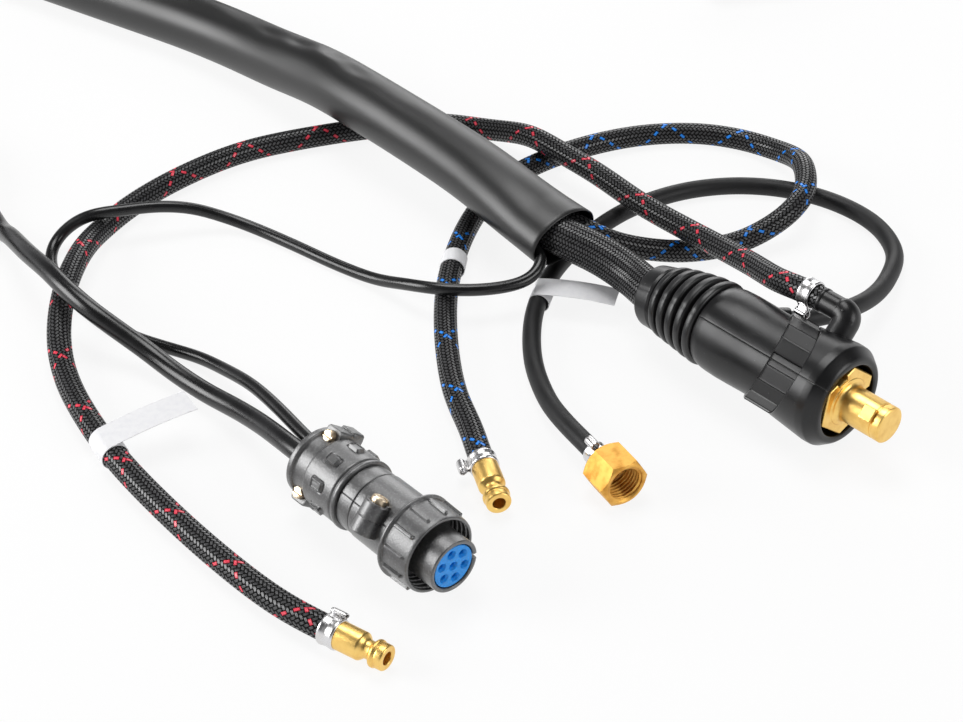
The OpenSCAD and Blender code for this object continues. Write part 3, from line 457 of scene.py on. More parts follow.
def sweepGrid(line, wide, high, upright, sides=24, square=1.0):
    # A section carried along a route without twist. `square` below 1 fills its corners out.
    p = np.asarray(line, float)
    t = np.gradient(p, axis=0)
    t /= np.linalg.norm(t, axis=1)[:, None]
    side = np.empty_like(p)
    now = np.array(upright, float)
    for i in range(len(p)):
        now = now - np.dot(now, t[i]) * t[i]
        now /= np.linalg.norm(now)
        side[i] = now
    other = np.cross(t, side)
    a = (np.arange(sides) + 0.5) / sides * 2 * math.pi
    x, y = (np.sign(v) * abs(v) ** square for v in (np.cos(a), np.sin(a)))
    w, h = (np.broadcast_to(np.asarray(v, float), (len(p),))[:, None] for v in (wide, high))
    return p[:, None] + (w * x)[..., None] * side[:, None] + (h * y)[..., None] * other[:, None]


def slottedHead(where, r, high, slot=0.42, deep=0.8, dome=0.35):
    # A screw head from its seat up, with a slot of this half width along local Y.
    ring = np.array([(-1.0, r * 0.55), (0, r * 0.55), (0, r - 0.15), (0.15, r), (high - dome, r),
                     (high - dome * 0.35, r * 0.9), (high - 0.05, r * 0.72), (high, r * 0.5),
                     (high + 0.03, r * 0.3), (high + 0.04, r * 0.12)])
    top = np.stack([np.interp(np.linspace(4, 9, 34), range(10), ring[:, k]) for k in (0, 1)], 1)
    fine = np.concatenate([ring[:5], top])
    grid = turnedGrid(fine, seat([0, 0, 0], pitch=90))
    cut = (1 - step(abs(grid[..., 0]), slot - 0.06, slot + 0.06)) * (np.arange(len(fine)) > 5)[:, None]
    z = grid[..., 2]
    grid[..., 2] = np.where(z > high - deep - 0.3, z * (1 - cut) + (high - deep) * cut, z)
    return seated(grid, where)


def runAlong(line):
    return np.concatenate([[0], np.cumsum(np.linalg.norm(np.diff(line, axis=0), axis=1))])


def smoothRoute(points, pace, rounds=0):
    # A Catmull-Rom curve through the points, cut at an even pace, then eased for a number of rounds.
    p = np.asarray(points, float)
    q = np.concatenate([2 * p[:1] - p[1:2], p, 2 * p[-1:] - p[-2:-1]])
    t = np.linspace(0, 1, 24, endpoint=False)[None, :, None]
    a, b, c, d = (q[k:len(q) - 3 + k, None] for k in range(4))
    s = 0.5 * (2 * b + (c - a) * t + (2 * a - 5 * b + 4 * c - d) * t ** 2 + (3 * b - a - 3 * c + d) * t ** 3)
    s = np.concatenate([s.reshape(-1, 3), p[-1:]])
    run = runAlong(s)
    at = np.linspace(0, run[-1], max(8, int(round(run[-1] / pace))) + 1)
    s = np.stack([np.interp(at, run, s[:, k]) for k in range(3)], 1)
    for _ in range(rounds):
        s[2:-2] = (s[1:-3] + 2 * s[2:-2] + s[3:-1]) / 4
    return s


def routeFrames(line):
    # Heading, side and up of a route; side stays level.
    t = np.gradient(line, axis=0)
    t /= np.linalg.norm(t, axis=1)[:, None]
    s = np.cross([0, 0, 1.0], t)
    s /= np.linalg.norm(s, axis=1)[:, None]
    return t, s, np.cross(t, s)


def tubeGrid(line, wide, high=None, sides=32):
    # An ellipse, wide across and high upright, carried square to the route.
    _, s, u = routeFrames(line)
    a = np.radians(evenTurns(sides) - 90)[:, None]
    w, h = (np.broadcast_to(np.asarray(v, float), (len(line),))[:, None, None]
            for v in (wide, wide if high is None else high))
    return line[:, None] + w * np.cos(a) * s[:, None] + h * np.sin(a) * u[:, None]


def tubePiece(name, line, thick, slot, finish=None, replaces=(), sides=32):
    shape = Shape().grid(tubeGrid(line, thick / 2, sides=sides), uv=(runAlong(line) * mm, sides))
    return shape.made(name, slot, sharp=60, finish=finish, replaces=replaces)


def routeOf(cord):
    return smoothRoute(cord["route"], cord["pace"], cord["ease"])


def direction(yaw):
    return np.array([math.cos(math.radians(yaw)), math.sin(math.radians(yaw)), 0.0])


# lead set: where its cords start and end
bootEnd = (-85.4, 0.0, -2.92)
mouth = np.array([-131.0, -0.8, -0.3])  # middle of the cover sleeve's mouth
mouthRun = np.array([-143.0, -0.8, 1.0])  # the bundle's next point, inside the sleeve
elbowEnd = np.array([-25.4, 17.41, 18.219])
gasPort, gasPortYaw = np.array([-43.0, 24.0, -3.0]), 55
nipple = {"length": 17.3, "outTip": (-20, -181.6, floorZ + 5.3), "outYaw": 13.0,
          "inTip": (-49, -109.3, floorZ + 5.3), "inYaw": -28.5}
nut = {"face": (-26, -75, floorZ + 7.75), "yaw": -13.0, "length": 13.0, "back": 0.8}
outYaw, inYaw, nutYaw = nipple["outYaw"], nipple["inYaw"], nut["yaw"]
outEnd = np.array(nipple["outTip"]) - nipple["length"] * direction(outYaw)
inEnd = np.array(nipple["inTip"]) - nipple["length"] * direction(inYaw)
gasEnd = np.array(nut["face"]) - (nut["length"] + nut["back"]) * direction(nutYaw)
plugFace, plugYaw = np.array([-28.1, -147.5, -3.1]), -1.3
plugSeat = seat(plugFace, plugYaw)
neckZ = -68.3  # the control plug's rear end, along its axis


def inPlug(along, left=0.0):
    return plugFace + along * direction(plugYaw) + left * direction(plugYaw + 90)


# Each cord's points are millimetres, `pace` is the distance of its rings and `ease` smooths its bends.
waterOutHose = {"thick": 8.6, "pace": 1.6, "ease": 40, "route": [
    elbowEnd + [8, 0, 0], elbowEnd, elbowEnd - [9, 0, 0], [-46, 19.4, 14.2], [-62, 26.8, 8.4], [-82, 34, 2],
    [-108, 39.5, -3.4], [-133, 41.5, -5.2], [-158, 44.5, -5.2], [-180, 45, -5.2], [-197, 45.8, -5.6],
    [-212, 45.4, -10.5], [-225, 42.5, -13.6], [-239, 34.5, -14.2], [-253, 14.5, -14.2], [-265, -9, -14.2],
    [-275, -36, -14.2], [-277, -64, -14.2], [-274, -90, -14.2], [-267, -110, -13.6], [-257, -125, -10.2],
    [-245, -139, -8.6], [-233, -151, -8.6], [-220, -162, -12], [-204, -171, -14.2], [-182, -179, -13.7],
    [-151, -186, -13.7], [-114, -189.5, -14.2], [-82, -190.5, -14.2], [-60, -189.8, -13.8],
    outEnd - 10 * direction(outYaw), outEnd]}
waterInHose = {"thick": 8.4, "pace": 1.6, "ease": 20, "route": [
    mouthRun + [0.6, 9.6, -1.2], mouth + [1, 10.2, -0.8], [-122, 15.5, -5.4], [-114, 27, -10],
    [-106, 42, -13.6], [-98, 59, -13.6], [-93.5, 73, -9.8], [-93, 83, -7], [-98, 96, -6.6],
    [-109, 108, -6.6], [-119, 115, -9.8], [-131, 118.5, -13.4], [-147, 115.5, -14.3], [-163, 105.5, -14.3],
    [-177, 88, -14.3], [-186, 66, -14.3], [-190, 42, -14.3], [-188, 20, -14.3], [-178, -3, -14.3],
    [-164, -24, -13.7], [-148, -43, -13.7], [-127, -62, -14.3], [-104, -79, -14.3], [-84, -89.5, -13.9],
    inEnd - 10 * direction(inYaw), inEnd]}
gasHose = {"thick": 6.7, "pace": 1.6, "ease": 12, "route": [
    gasPort, gasPort + 5 * direction(gasPortYaw), [-36.6, 38, -3.8], [-36, 49.5, -6], [-38.7, 64.3, -9.9],
    [-45, 81, -13.4], [-55.2, 98, -15.1], [-72, 107.6, -15.1], [-92, 108.5, -15.1], [-111, 102, -15.1],
    [-127, 89, -15.1], [-138, 71, -15.1], [-143, 50, -15.1], [-142.5, 31, -15.1], [-138, 11, -15.1],
    [-130, -9, -14.6], [-117, -29, -14.6], [-99, -46.5, -15.1], [-80, -58.5, -14.4], [-65, -65, -12.4],
    gasEnd - 9 * direction(nutYaw), gasEnd]}


def makeHoses():
    line = routeOf(waterOutHose)
    line = line[int(np.argmin(np.linalg.norm(line - elbowEnd, axis=1))):]  # not the stretch in the elbow
    thick = waterOutHose["thick"]
    hose = tubePiece("waterOutHose", line, thick, "braid", finishes["redTracer"], ["water_out_hose"])
    thick * mm
    line, thick = routeOf(waterInHose), waterInHose["thick"]
    hose = tubePiece("waterInHose", line, thick, "braid", finishes["blueTracer"], ["water_in_hose"])
    thick * mm
    line, thick = routeOf(gasHose), gasHose["thick"]
    hose = tubePiece("gasHose", line, thick, "hose_rubber", None, ["gas_hose"])
    thick * mm


def coilBeyond(coil, rings=48):
    # A coil of two layers beside a straight run that leaves `last` along `head` for `lead` millimetres.
    # Its radius shrinks and grows again by one pitch a turn, and it climbs one pitch in the half turn
    # round the middle. Gives its points and the heading at its end.
    last, head, side = (np.array(coil[key]) for key in ("last", "head", "side"))
    inner, pitch, turns, way = coil["inner"], coil["pitch"], coil["turns"], coil["way"]
    mid = last + coil["lead"] * head + (inner + pitch * turns / 2) * side
    t = turns * (np.arange(round(turns * rings) + 1) / round(turns * rings) - 0.5)
    a = math.atan2(-side[1], -side[0]) + way * 2 * math.pi * (t + turns / 2)
    r, rise = inner + pitch * abs(t), np.clip(2 * t + 0.5, 0, 1)
    points = mid + np.stack([r * np.cos(a), r * np.sin(a), pitch * rise * rise * (3 - 2 * rise)], 1)
    return points, way * np.array([-math.sin(a[-1]), math.cos(a[-1]), 0])


switchLead = {"thick": 4.5, "pace": 1.2, "ease": 24, "route": [
    mouthRun + [0.6, -10.9, -1.6], mouth + [0.5, -11.2, -2.1], [-127.2, -16, -5], [-126.8, -23.5, -7],
    [-131, -34, -7.2], [-138, -44, -6.9], [-147, -51, -7.2], [-158, -53.5, -10], [-174, -55, -15.2],
    [-192, -58.5, -16.2], [-213, -62, -16.2], [-231, -66.5, -15.4], [-242, -73, -12.6], [-250, -82, -8.6],
    [-257, -93.5, -6.4], [-262, -103, -6.2], [-267, -113, -5.8], [-272, -120, -9.5], [-272, -129, -14.6],
    [-261, -137.5, -16.2], [-245, -141, -16.2], [-226, -142.5, -16.2], [-207, -140.5, -16.2],
    [-193, -135.5, -16.2], [-180, -131, -15.6], [-166, -130.5, -13.2], [-148, -132, -9.2],
    [-128, -136, -5.8], inPlug(neckZ - 8, 4.6), inPlug(neckZ + 6, 4.6)]}
remoteLead = {"thick": 7.0, "pace": 2.0, "ease": 8, "end": 42, "start": [
    inPlug(neckZ + 6, -1.8), inPlug(neckZ - 8, -1.8), [-126, -144, -7.6], [-143, -142.6, -11],
    [-160, -143, -13.4], [-176, -144, -13.2], [-191, -146, -10.2], [-202, -149.5, -5.8],
    [-212, -152.5, -1.8], [-225, -153, 0.2], [-240, -151, 0], [-259, -147.5, -3.6], [-281, -141.5, -9.6]],
    "coil": {"last": (-297, -137, floorZ + 3.5), "head": (-0.96, 0.28, 0), "side": (-0.28, -0.96, 0),
             "lead": 50, "inner": 30.7, "pitch": 7.6, "turns": 5.045, "way": 1}}


def makeLeads():
    line, thick = routeOf(switchLead), switchLead["thick"]
    lead = tubePiece("switchLead", line, thick, "hose_rubber", finishes["leadRubber"], ["switch_lead"], 24)
    thick * mm
    coil, heading = coilBeyond(remoteLead["coil"])
    last, before = np.array(remoteLead["coil"]["last"]), coil[0] - 7 * np.array(remoteLead["coil"]["head"])
    beyond = [coil[-1] + k * 7 * heading for k in range(1, 7)]
    route = np.concatenate([remoteLead["start"], [last, before], coil, beyond])
    line, thick = smoothRoute(route, remoteLead["pace"], remoteLead["ease"]), remoteLead["thick"]
    lead = tubePiece("remoteLead", line, thick, "hose_rubber", finishes["leadRubber"],
                     ["remote_lead", "remote_coil"], 24)
    thick * mm
    return coil[-1] + remoteLead["end"] * heading, math.degrees(math.atan2(heading[1], heading[0]))


powerCable = {"thick": 14.6, "pace": 1.6, "ease": 2, "route": [
    [-57, 0, 0], [-59.6, 0, 0], [-64.2, 0, -0.16], [-68.8, 0, -0.48], [-73.35, 0, -0.96], [-77.92, 0, -1.6],
    bootEnd, [-99, 2.6, -3], [-113, 1.6, -1], mouth + [0, -1.8, 1.8], mouthRun + [0.6, -1.8, 1.8],
    [-152, -2, 3]]}


def makePowerCable():
    line, thick = routeOf(powerCable), powerCable["thick"]
    cable = tubePiece("powerCable", line, thick, "braid", None, ["power_cable"], 48)
    thick * mm


coverSleeve = {
    "thick": 24.5, "wall": 0.8, "pace": 1.6, "ease": 80, "sides": 64, "inside": 16,  # rows seen inside it
    # half width and half height: the mouth is flat and wide, and grows round behind the bundle's fan
    "along": (0, 12, 26, 50, 74, 98), "wide": (15.5, 14.9, 14, 13.2, 12.6, 12.25),
    "high": (10.8, 10.5, 11.2, 11.8, 12.1, 12.25),
    "start": [mouth, mouthRun, [-156, -0.5, 2.3], [-180, 2.5, 3], [-204, 4, 3], [-228, 4.5, 3.4],
              [-252, 5, 3.4], [-279, 7, 1.4], [-307, 8.5, -3.6], [-334, 8, -5.6],
              [-362, 4.2, floorZ + 12.25]],
    "coil": {"last": (-396, -4, floorZ + 12.25), "head": (-0.971, -0.238, 0), "side": (-0.238, 0.971, 0),
             "lead": 132, "inner": 80.6, "pitch": 25.1, "turns": 4.54, "way": -1},
    # dents of the slack skin: place from the mouth, turn (0 is level, 90 the top), half length, half
    # width in degrees, depth
    "dents": ((98, 96, 16, 26, 0.4), (124, 92, 12, 24, 1.0), (141, 103, 9, 20, 0.9), (161, 92, 11, 22, 1.4),
              (180, 86, 11, 20, 1.0), (150, 30, 20, 28, 0.5), (200, 97, 16, 26, 0.6))}


def coverRoute():
    # From the mouth through the coil to the handle, which lies level beyond it; also gives its place.
    coil, heading = coilBeyond(coverSleeve["coil"])
    last, head = (np.array(coverSleeve["coil"][key]) for key in ("last", "head"))
    end = coil[-1] + 24.5 * heading
    handleAt = np.array([end[0] + 105, end[1], floorZ + 16])
    route = np.concatenate([coverSleeve["start"], [last, last + 54 * head, coil[0] - 24.5 * head], coil,
                            [end, end + 22 * heading, end + [52, 0, -8], handleAt + [-25, 0, 3],
                             handleAt - [10, 0, 0], handleAt]])
    line = smoothRoute(route, coverSleeve["pace"], coverSleeve["ease"])
    return np.concatenate([line[:150], line[150:-2:3], line[-1:]]), handleAt  # wider rings past the dents


def makeCover():
    line, handleAt = coverRoute()
    run, sides, wall = runAlong(line), coverSleeve["sides"], coverSleeve["wall"]
    wide, high = (np.interp(run, coverSleeve["along"], coverSleeve[key]) for key in ("wide", "high"))
    skin = tubeGrid(line, wide, high, sides)
    turns = evenTurns(sides) - 90
    sink = np.zeros((len(line), sides))
    for at, turn, long, across, deep in coverSleeve["dents"]:
        q = ((run[:, None] - at) / long) ** 2 + ((turns[None] - turn) / across) ** 2
        sink += deep * np.exp(-q) * (1 - 0.7 * q)
    skin = line[:, None] + (skin - line[:, None]) * (1 - sink / 12)[..., None]
    few = slice(0, coverSleeve["inside"], 2)
    inside = tubeGrid(line[few], wide[few] - wall, high[few] - wall, sides)[::-1]
    lip = (skin[:1] + inside[-1:]) / 2 - 0.35 * routeFrames(line)[0][0]
    shape = Shape().grid(np.concatenate([inside, lip, skin]),
                         uv=(np.concatenate([run[few][::-1], [-0.5], run]) * mm, sides))
    cover = shape.made("coverSleeve", "sleeve", sharp=60,
                       replaces=["cover_sleeve", "cover_coil", "cover_tail"])
    return handleAt


# power plug; turns are degrees round its axis
housing = {
    "parting": 138.5, "partingDeep": 0.22, "partingPanel": 16.0, "panel": 20.5,  # degrees a panel of the grip
    "leanFrom": 137.0, "gripFront": (-21.0, 12.0), "gripRear": (-32.5, 10.3),  # borders: middle, slant
    "gripFlat": 16.45, "gripLow": 15.5, "ridge": 0.2, "twinGroove": 0.34,
    "end": -55, "endR": (11.0, 14.6), "collarEnd": -3.4,
    "body": ((-55, 14.7), (-54.2, 15.0), (-52, 15.5), (-49.5, 15.65), (-46, 15.75), (-40, 15.65),
             (-33, 15.45), (-20, 15.45)),
    "collar": ((-24, 16.75), (-20.5, 16.95), (-9, 18.1), (-4.6, 18.55), (-3, 18.52), (-2, 18.45),
               (-1.1, 18.2)),
    "rim": ((-3.2, 18.52), (-1.5, 18.42), (1.9, 16.0), (2.5, 15.2), (2.5, 13.7), (2.1, 13.2), (-1, 13.2),
            (-5.8, 13.2)),
    "port": ((0, 2), (0, 5.2), (13.6, 4.8), (15.6, 4.6), (16, 4.1), (15.6, 2.6))}
fromParting = housing["partingPanel"] / 2 + housing["panel"] * np.arange(9)
gripEdges = housing["parting"] + np.concatenate([fromParting, -fromParting])


def gripColumns():
    # Columns crowd at the edges of the grip's panels and at the parting line.
    near, parting = np.array([-3, -1.5, -0.85, -0.4, 0, 0.4, 0.85, 1.5, 3]), housing["parting"]
    within = np.array([5.1, 7.6, 10.25, 12.9, 15.4])
    turns = [*(gripEdges[:, None] + near), *(gripEdges[:8, None] + within), *(gripEdges[9:17, None] - within),
             parting + np.array([-3.2, -1.6, -0.8, -0.35, 0, 0.35, 0.8, 1.6, 3.2]),
             parting + np.array([177, 180, 183])]
    return np.unique(np.round(np.concatenate(turns) % 360, 2))


def gripRadius(turns):
    # Flat panels with a ridge at each edge, and a groove instead at both edges of the parting's panel.
    starts = np.sort(gripEdges % 360)
    low = starts[(np.searchsorted(starts, turns, "right") - 1) % len(starts)]
    atParting = apart(low + housing["partingPanel"] / 2, housing["parting"], 180) < 1
    width = np.where(atParting, housing["partingPanel"], housing["panel"])
    flat = (housing["gripFlat"] + 0.1) / np.cos(np.radians((turns - low) % 360 - width / 2)) - 0.1
    ridge = housing["ridge"] * hump(apart(turns[:, None], gripEdges).min(1), 0.55)
    edge = apart(turns, housing["parting"]) - housing["partingPanel"] / 2
    return flat + np.where(abs(edge) < 1.1, -housing["twinGroove"] * hump(edge, 0.5), ridge)


def makeHousing():
    # Rows follow the two slanting borders of the grip band.
    turns, end, inner, outer = gripColumns(), housing["end"], *housing["endR"]
    level = np.ones(len(turns))
    lean = abs(np.cos(np.radians(turns - housing["leanFrom"])))
    front, rear = (at + slant * lean for at, slant in (housing["gripFront"], housing["gripRear"]))
    parting = housing["partingDeep"] * hump(turns - housing["parting"], 0.55)
    panel = gripRadius(turns) - parting
    rows = [((end + 0.6) * level, inner * level), (end * level, outer * level)]
    for t in [*np.linspace(0, 0.1, 6), *np.linspace(0.14, 0.99, 22)]:  # body behind the grip
        x = end + t * (rear - 0.12 - end)
        rows.append((x, np.interp(x, *zip(*housing["body"])) - parting * step(x, end + 0.2, end + 1)))
    for t, drop in ((0.0, -0.12), (0.25, 0.12), (0.6, 0.02), (1.2, 0.0)):
        rows.append((rear + t, np.maximum(panel + drop, housing["gripLow"])))
    for t in np.linspace(0.12, 0.94, 10):
        rows.append((rear + t * (front - rear), panel))
    for t, drop in ((-0.5, 0.0), (-0.28, -0.05), (-0.16, -0.5), (-0.06, -0.55)):
        rows.append((front + t, panel + drop))
    for t in [0.0, 0.012, 0.03, *np.linspace(0.06, 1, 22)]:  # collar, with a groove at its foot
        x = front + 0.04 + t * (housing["collarEnd"] - front - 0.04)
        collar = np.interp(x, *zip(*housing["collar"]))
        rows.append((x, collar - parting * 0.8 - 0.22 * hump(x - front, 0.18)))
    for x, r in rounded(housing["rim"], 0.5, 4)[1:]:
        rows.append((x * level, r - parting * (0.8 if r > housing["gripLow"] else 0)))
    x, r = np.array(rows).swapaxes(0, 1)
    a = np.radians(turns)
    shape = Shape().grid(np.stack([x, r * np.cos(a), r * np.sin(a)], 2))
    port = seat(gasPort - 16 * direction(gasPortYaw), gasPortYaw)
    shape.grid(turnedGrid(rounded(housing["port"], 0.5), port, 64))
    shape.made("housing", "housing_rubber", sharp=24, replaces=["plug_housing"])


boot = {
    "route": [[-54.2, 0, 0], [-59.6, 0, 0], [-64.2, 0, -0.16], [-68.8, 0, -0.48], [-73.36, 0, -0.96],
              [-77.92, 0, -1.6], [-81.6, 0, -2.2], [-85.4, 0, -2.92]],
    "rib": 4.6, "groove": 2.4, "inside": 0.8, "neck": 13.2, "bore": 7.5, "sides": 120,
    # radius of the ribs' crests and of the tail behind them, by the distance along the boot
    "crestAt": (0, 2.3, 6.9, 11.5, 16.1, 20.7, 23), "crest": (15.7, 15.75, 15.35, 14.7, 14.0, 13.2, 12.6),
    "tailAt": (22.6, 23.2, 24.2, 29.6, 30.3, 30.7), "tail": (10.4, 11.6, 12.0, 11.3, 10.9, 10.2)}


def makeBoot():
    # Rounded ribs with narrow grooves between them, a smooth tail, and the bore that the cable fills.
    line, sides = smoothRoute(boot["route"], 0.16), boot["sides"]
    run = runAlong(line) - boot["inside"]
    place = (run % boot["rib"]) / boot["rib"]
    rib = np.interp(run, boot["crestAt"], boot["crest"]) - 0.5 * abs(2 * place - 1) ** 2.2
    rib -= boot["groove"] * hump(np.minimum(place, 1 - place), 0.135)
    r = np.where(run < boot["crestAt"][-1], rib, np.interp(run, boot["tailAt"], boot["tail"]))
    r = np.where(run < 0, boot["neck"], r)
    grid = tubeGrid(line, r, sides=sides)
    a = np.radians(evenTurns(sides) - 90)
    mark = 0.2 * hump(np.degrees(np.arctan2(np.sin(a), -np.cos(a))) % 360 - housing["parting"], 1.3)
    grid = line[:, None] + (grid - line[:, None]) * (1 - mark[None, :, None] / r[:, None, None])
    bore = tubeGrid(line, boot["bore"], sides=sides)[::-1][:40]
    lip = grid[-1:] * 0.45 + bore[:1] * 0.55
    shape = Shape().grid(np.concatenate([grid, lip, bore]))
    shape.made("boot", "boot_rubber", sharp=50, replaces=["plug_boot"])


pin = {
    "flats": 22.4, "flatTurn": 140, "corner": 12.8, "notches": (110, 350), "notchR": 9.7, "notchHalf": 12.7,
    "line": ((2.2, 9.6), (2.2, 8.7), (2.65, 8.5), (2.8, 7.4), (3.7, 6.5), (16.2, 6.5), (16.35, 6.12),
             (16.95, 6.12), (17.1, 6.5), (19.5, 6.5), (20, 6.0), (20.0, 3.0), (20.03, 0.4)),
    "round": [0.2] * 4 + [1.0] + [0.12] * 5 + [0.3, 0.1, 0.1],
    "lug": {"at": 14.4, "turn": 137, "foot": 4.0, "top": 3.5, "half": (2.4, 2.5)}}


def makePin():
    # Hexagon with two notched corners, the contact pin in front of it, and the pin's locking lug.
    where = seat([0, 0, 0])
    edges = [pin["flatTurn"] + 30 + 60 * k + np.array([-0.6, 0, 0.6]) for k in range(6)]
    edges += [at + 90 + np.array([-12.9, -12.5, 12.5, 12.9]) for at in pin["notches"]]
    turns = np.unique(np.round(np.concatenate([np.arange(0, 360, 3.0), *edges]) % 360, 2))
    hexagon = pin["flats"] / 2 / np.cos(np.radians(apart(turns, pin["flatTurn"], 60)))
    notch = np.any([apart(turns, at + 90) < pin["notchHalf"] for at in pin["notches"]], axis=0)
    hexagon = np.where(notch, pin["notchR"], np.minimum(hexagon, pin["corner"]))
    rows = [(-5.8, 0.5 * hexagon), (-5.8, hexagon), (1.7, hexagon), (2.05, hexagon - 0.18),
            (2.2, hexagon - 0.4)]
    rows += [(x, np.full(len(turns), r)) for x, r in rounded(pin["line"], pin["round"])]
    shape = Shape().grid(ringGrid([row[0] for row in rows], [row[1] for row in rows], turns, where))
    lug = pin["lug"]
    out, (across, along) = radial(where, lug["turn"]), lug["half"]
    key = facing([lug["at"], 0, 0] + out * lug["foot"], out, [1, 0, 0])
    sections = [(0, across, along), *block(0.2, lug["top"], across, along, 0.25)[3:]]
    shape.grid(boxGrid(sections, key, 0.4))
    shape.made("pin", "brass", sharp=30, replaces=["power_pin"])


elbow = {"tilt": 46.3, "at": -13.4, "rise": 25.2, "foot": 12, "reach": 12.4, "bend": 4.0, "square": 0.93,
         "bulge": (0, 8, 12), "bulgeR": (4.7, 4.6, 4.75),  # then the collar, by the distance from its end
         "collar": (9, 8.4, 1.6, 1.5, 0.4, 0), "collarR": (4.65, 4.15, 4.15, 4.4, 4.4, 4.0)}


def makeElbow():
    # A tube that leaves the body, turns to the rear and takes the hose, with a moulding mark on top.
    tilt = math.radians(elbow["tilt"])
    up = np.array([0, math.cos(tilt), math.sin(tilt)])
    corner = np.array([elbow["at"], 0, 0]) + elbow["rise"] * up
    path = [corner - elbow["foot"] * up, corner, corner - [elbow["reach"], 0, 0]]
    line = smoothRoute(rounded(path, elbow["bend"], 14), 0.35)
    run = runAlong(line)
    r = np.interp(run, [*elbow["bulge"], *(run[-1] - np.array(elbow["collar"]))],
                  [*elbow["bulgeR"], *elbow["collarR"]])
    shape = Shape().grid(sweepGrid(line, r, r, [1, 0, 0], 48, elbow["square"]))
    top = facing(corner + [-0.9, 0, 0], np.cross([1.0, 0, 0], up), [1, 0, 0])
    mark = rounded([(4.0, 0.2), (4.6, 0.62), (4.95, 0.45), (4.97, 0.05)], 0.12)
    shape.grid(turnedGrid(mark, top, 24))
    shape.made("elbow", "housing_rubber", sharp=40, replaces=["water_elbow"])


# fittings of the hoses
clamp = {"wide": 5.2, "hoop": 0.62, "bead": 0.16, "sheet": 0.28,
         # the ear's outline: turns from its middle, and height in shares of its rise
         "earTurn": (-30, -15, -7, -5.5, -11, -12, -7, 0, 7, 12, 11, 5.5, 7, 15, 30),
         "earHigh": (0, 0.12, 0.5, 1.2, 1.9, 2.8, 3.6, 3.8, 3.6, 2.8, 1.9, 1.2, 0.5, 0.12, 0)}


def makeClamp(name, node, where, thick, ear, wide=clamp["wide"], rise=1.0):
    # A pressed band with two beads, and an ear folded out of it like a small open tube.
    r = thick / 2 + 0.05
    out, bead = r + clamp["hoop"], r + clamp["hoop"] + clamp["bead"]
    band = [(0, r + 0.1), (0.15, out), (0.8, bead), (1.7, out), (wide / 2, out - 0.14), (wide - 1.7, out),
            (wide - 0.8, bead), (wide - 0.15, out), (wide, r + 0.1), (wide / 2, r - 0.1), (0, r + 0.1)]
    shape = Shape().grid(turnedGrid(rounded(band, 0.25), where, 72), ends=False)
    a = np.radians(ear + np.array(clamp["earTurn"]))
    h = r + 0.5 + rise * np.array(clamp["earHigh"])
    fold = smoothRoute(np.stack([h * np.cos(a), h * np.sin(a), np.full(len(a), wide / 2)], 1), 0.2)
    shape.grid(sweepGrid(seated(fold, where), wide / 2 - 0.3, clamp["sheet"], where[1] @ [0, 0, 1], 16, 0.5))
    shape.made(name, "steel", sharp=50, replaces=[node])


nippleLine = ((-2.0, 3.0), (-2.0, 4.3), (0, 4.55), (8.2, 4.55), (9.5, 3.3), (10.1, 3.0), (11.9, 3.0),
              (12.9, 4.55), (13.9, 4.55), (14.5, 4.05), (14.9, 4.2), (16.9, 4.2), (17.3, 3.8), (17.3, 2.35),
              (17.0, 2.1), (8, 2.1), (7.8, 1.0))
nippleRound = (0.2, 0.2, 0.3, 0.5, 0.5, 0.4, 0.4, 0.4, 0.25, 0.15, 0.15, 0.3, 0.2, 0.2, 0.15, 0.3, 0.1)


def makeNipple(name, node, at, yaw):
    shape = Shape().grid(turnedGrid(rounded(nippleLine, nippleRound), seat(at, yaw), 80))
    shape.made(name, "brass", sharp=34, replaces=[node])


nutShape = {"flats": 15.5, "flatTurn": 60, "chamferR": 7.55, "chamfer": 1.3, "tailR": 3.6,
            "thread": {"pitch": 1.337, "core": 5.75, "deep": 0.68, "from": 12.4, "to": 3.9}}


def makeNut():
    # Rows go up the chamfered hexagon, over its face and down the thread inside.
    thread = nutShape["thread"]
    edges = [nutShape["flatTurn"] - 30 + 60 * k + np.array([-0.7, 0, 0.7]) for k in range(6)]
    turns = np.unique(np.round(np.concatenate([np.arange(0, 360, 3.0), *edges]) % 360, 2))
    side = nutShape["flats"] / 2 / np.cos(np.radians(apart(turns, nutShape["flatTurn"], 60)))
    level, long = np.ones(len(turns)), nut["length"]
    rows = [(0.0, nutShape["tailR"] * level), (0.0, np.minimum(side, 7.3))]
    for z in [*np.linspace(0.1, 1.6, 9), *np.linspace(3, 10.5, 4), *np.linspace(11.2, 12.9, 10)]:
        chamfered = nutShape["chamferR"] + nutShape["chamfer"] * min(z, long - z)
        rows.append((z, np.minimum(side, chamfered)))
    rows += [(long, 7.35 * level), (long, 6.85 * level), (12.7, 6.5 * level)]
    for z in np.arange(thread["from"], thread["to"], -0.12):
        tooth = abs(((z / thread["pitch"] - turns / 360) % 1.0) - 0.5) * 2
        rows.append((z, thread["core"] + thread["deep"] * step(tooth, 0.15, 0.85)))
    rows += [(3.6, 5.9 * level), (2.9, nutShape["tailR"] * level)]
    where = seat(gasEnd + nut["back"] * direction(nutYaw), nutYaw)
    shape = Shape().grid(ringGrid([row[0] for row in rows], [row[1] for row in rows], turns, where))
    shape.made("gasNut", "brass", "gas_nut", 28, finishes["wornBrass"], ["gas_nut"])


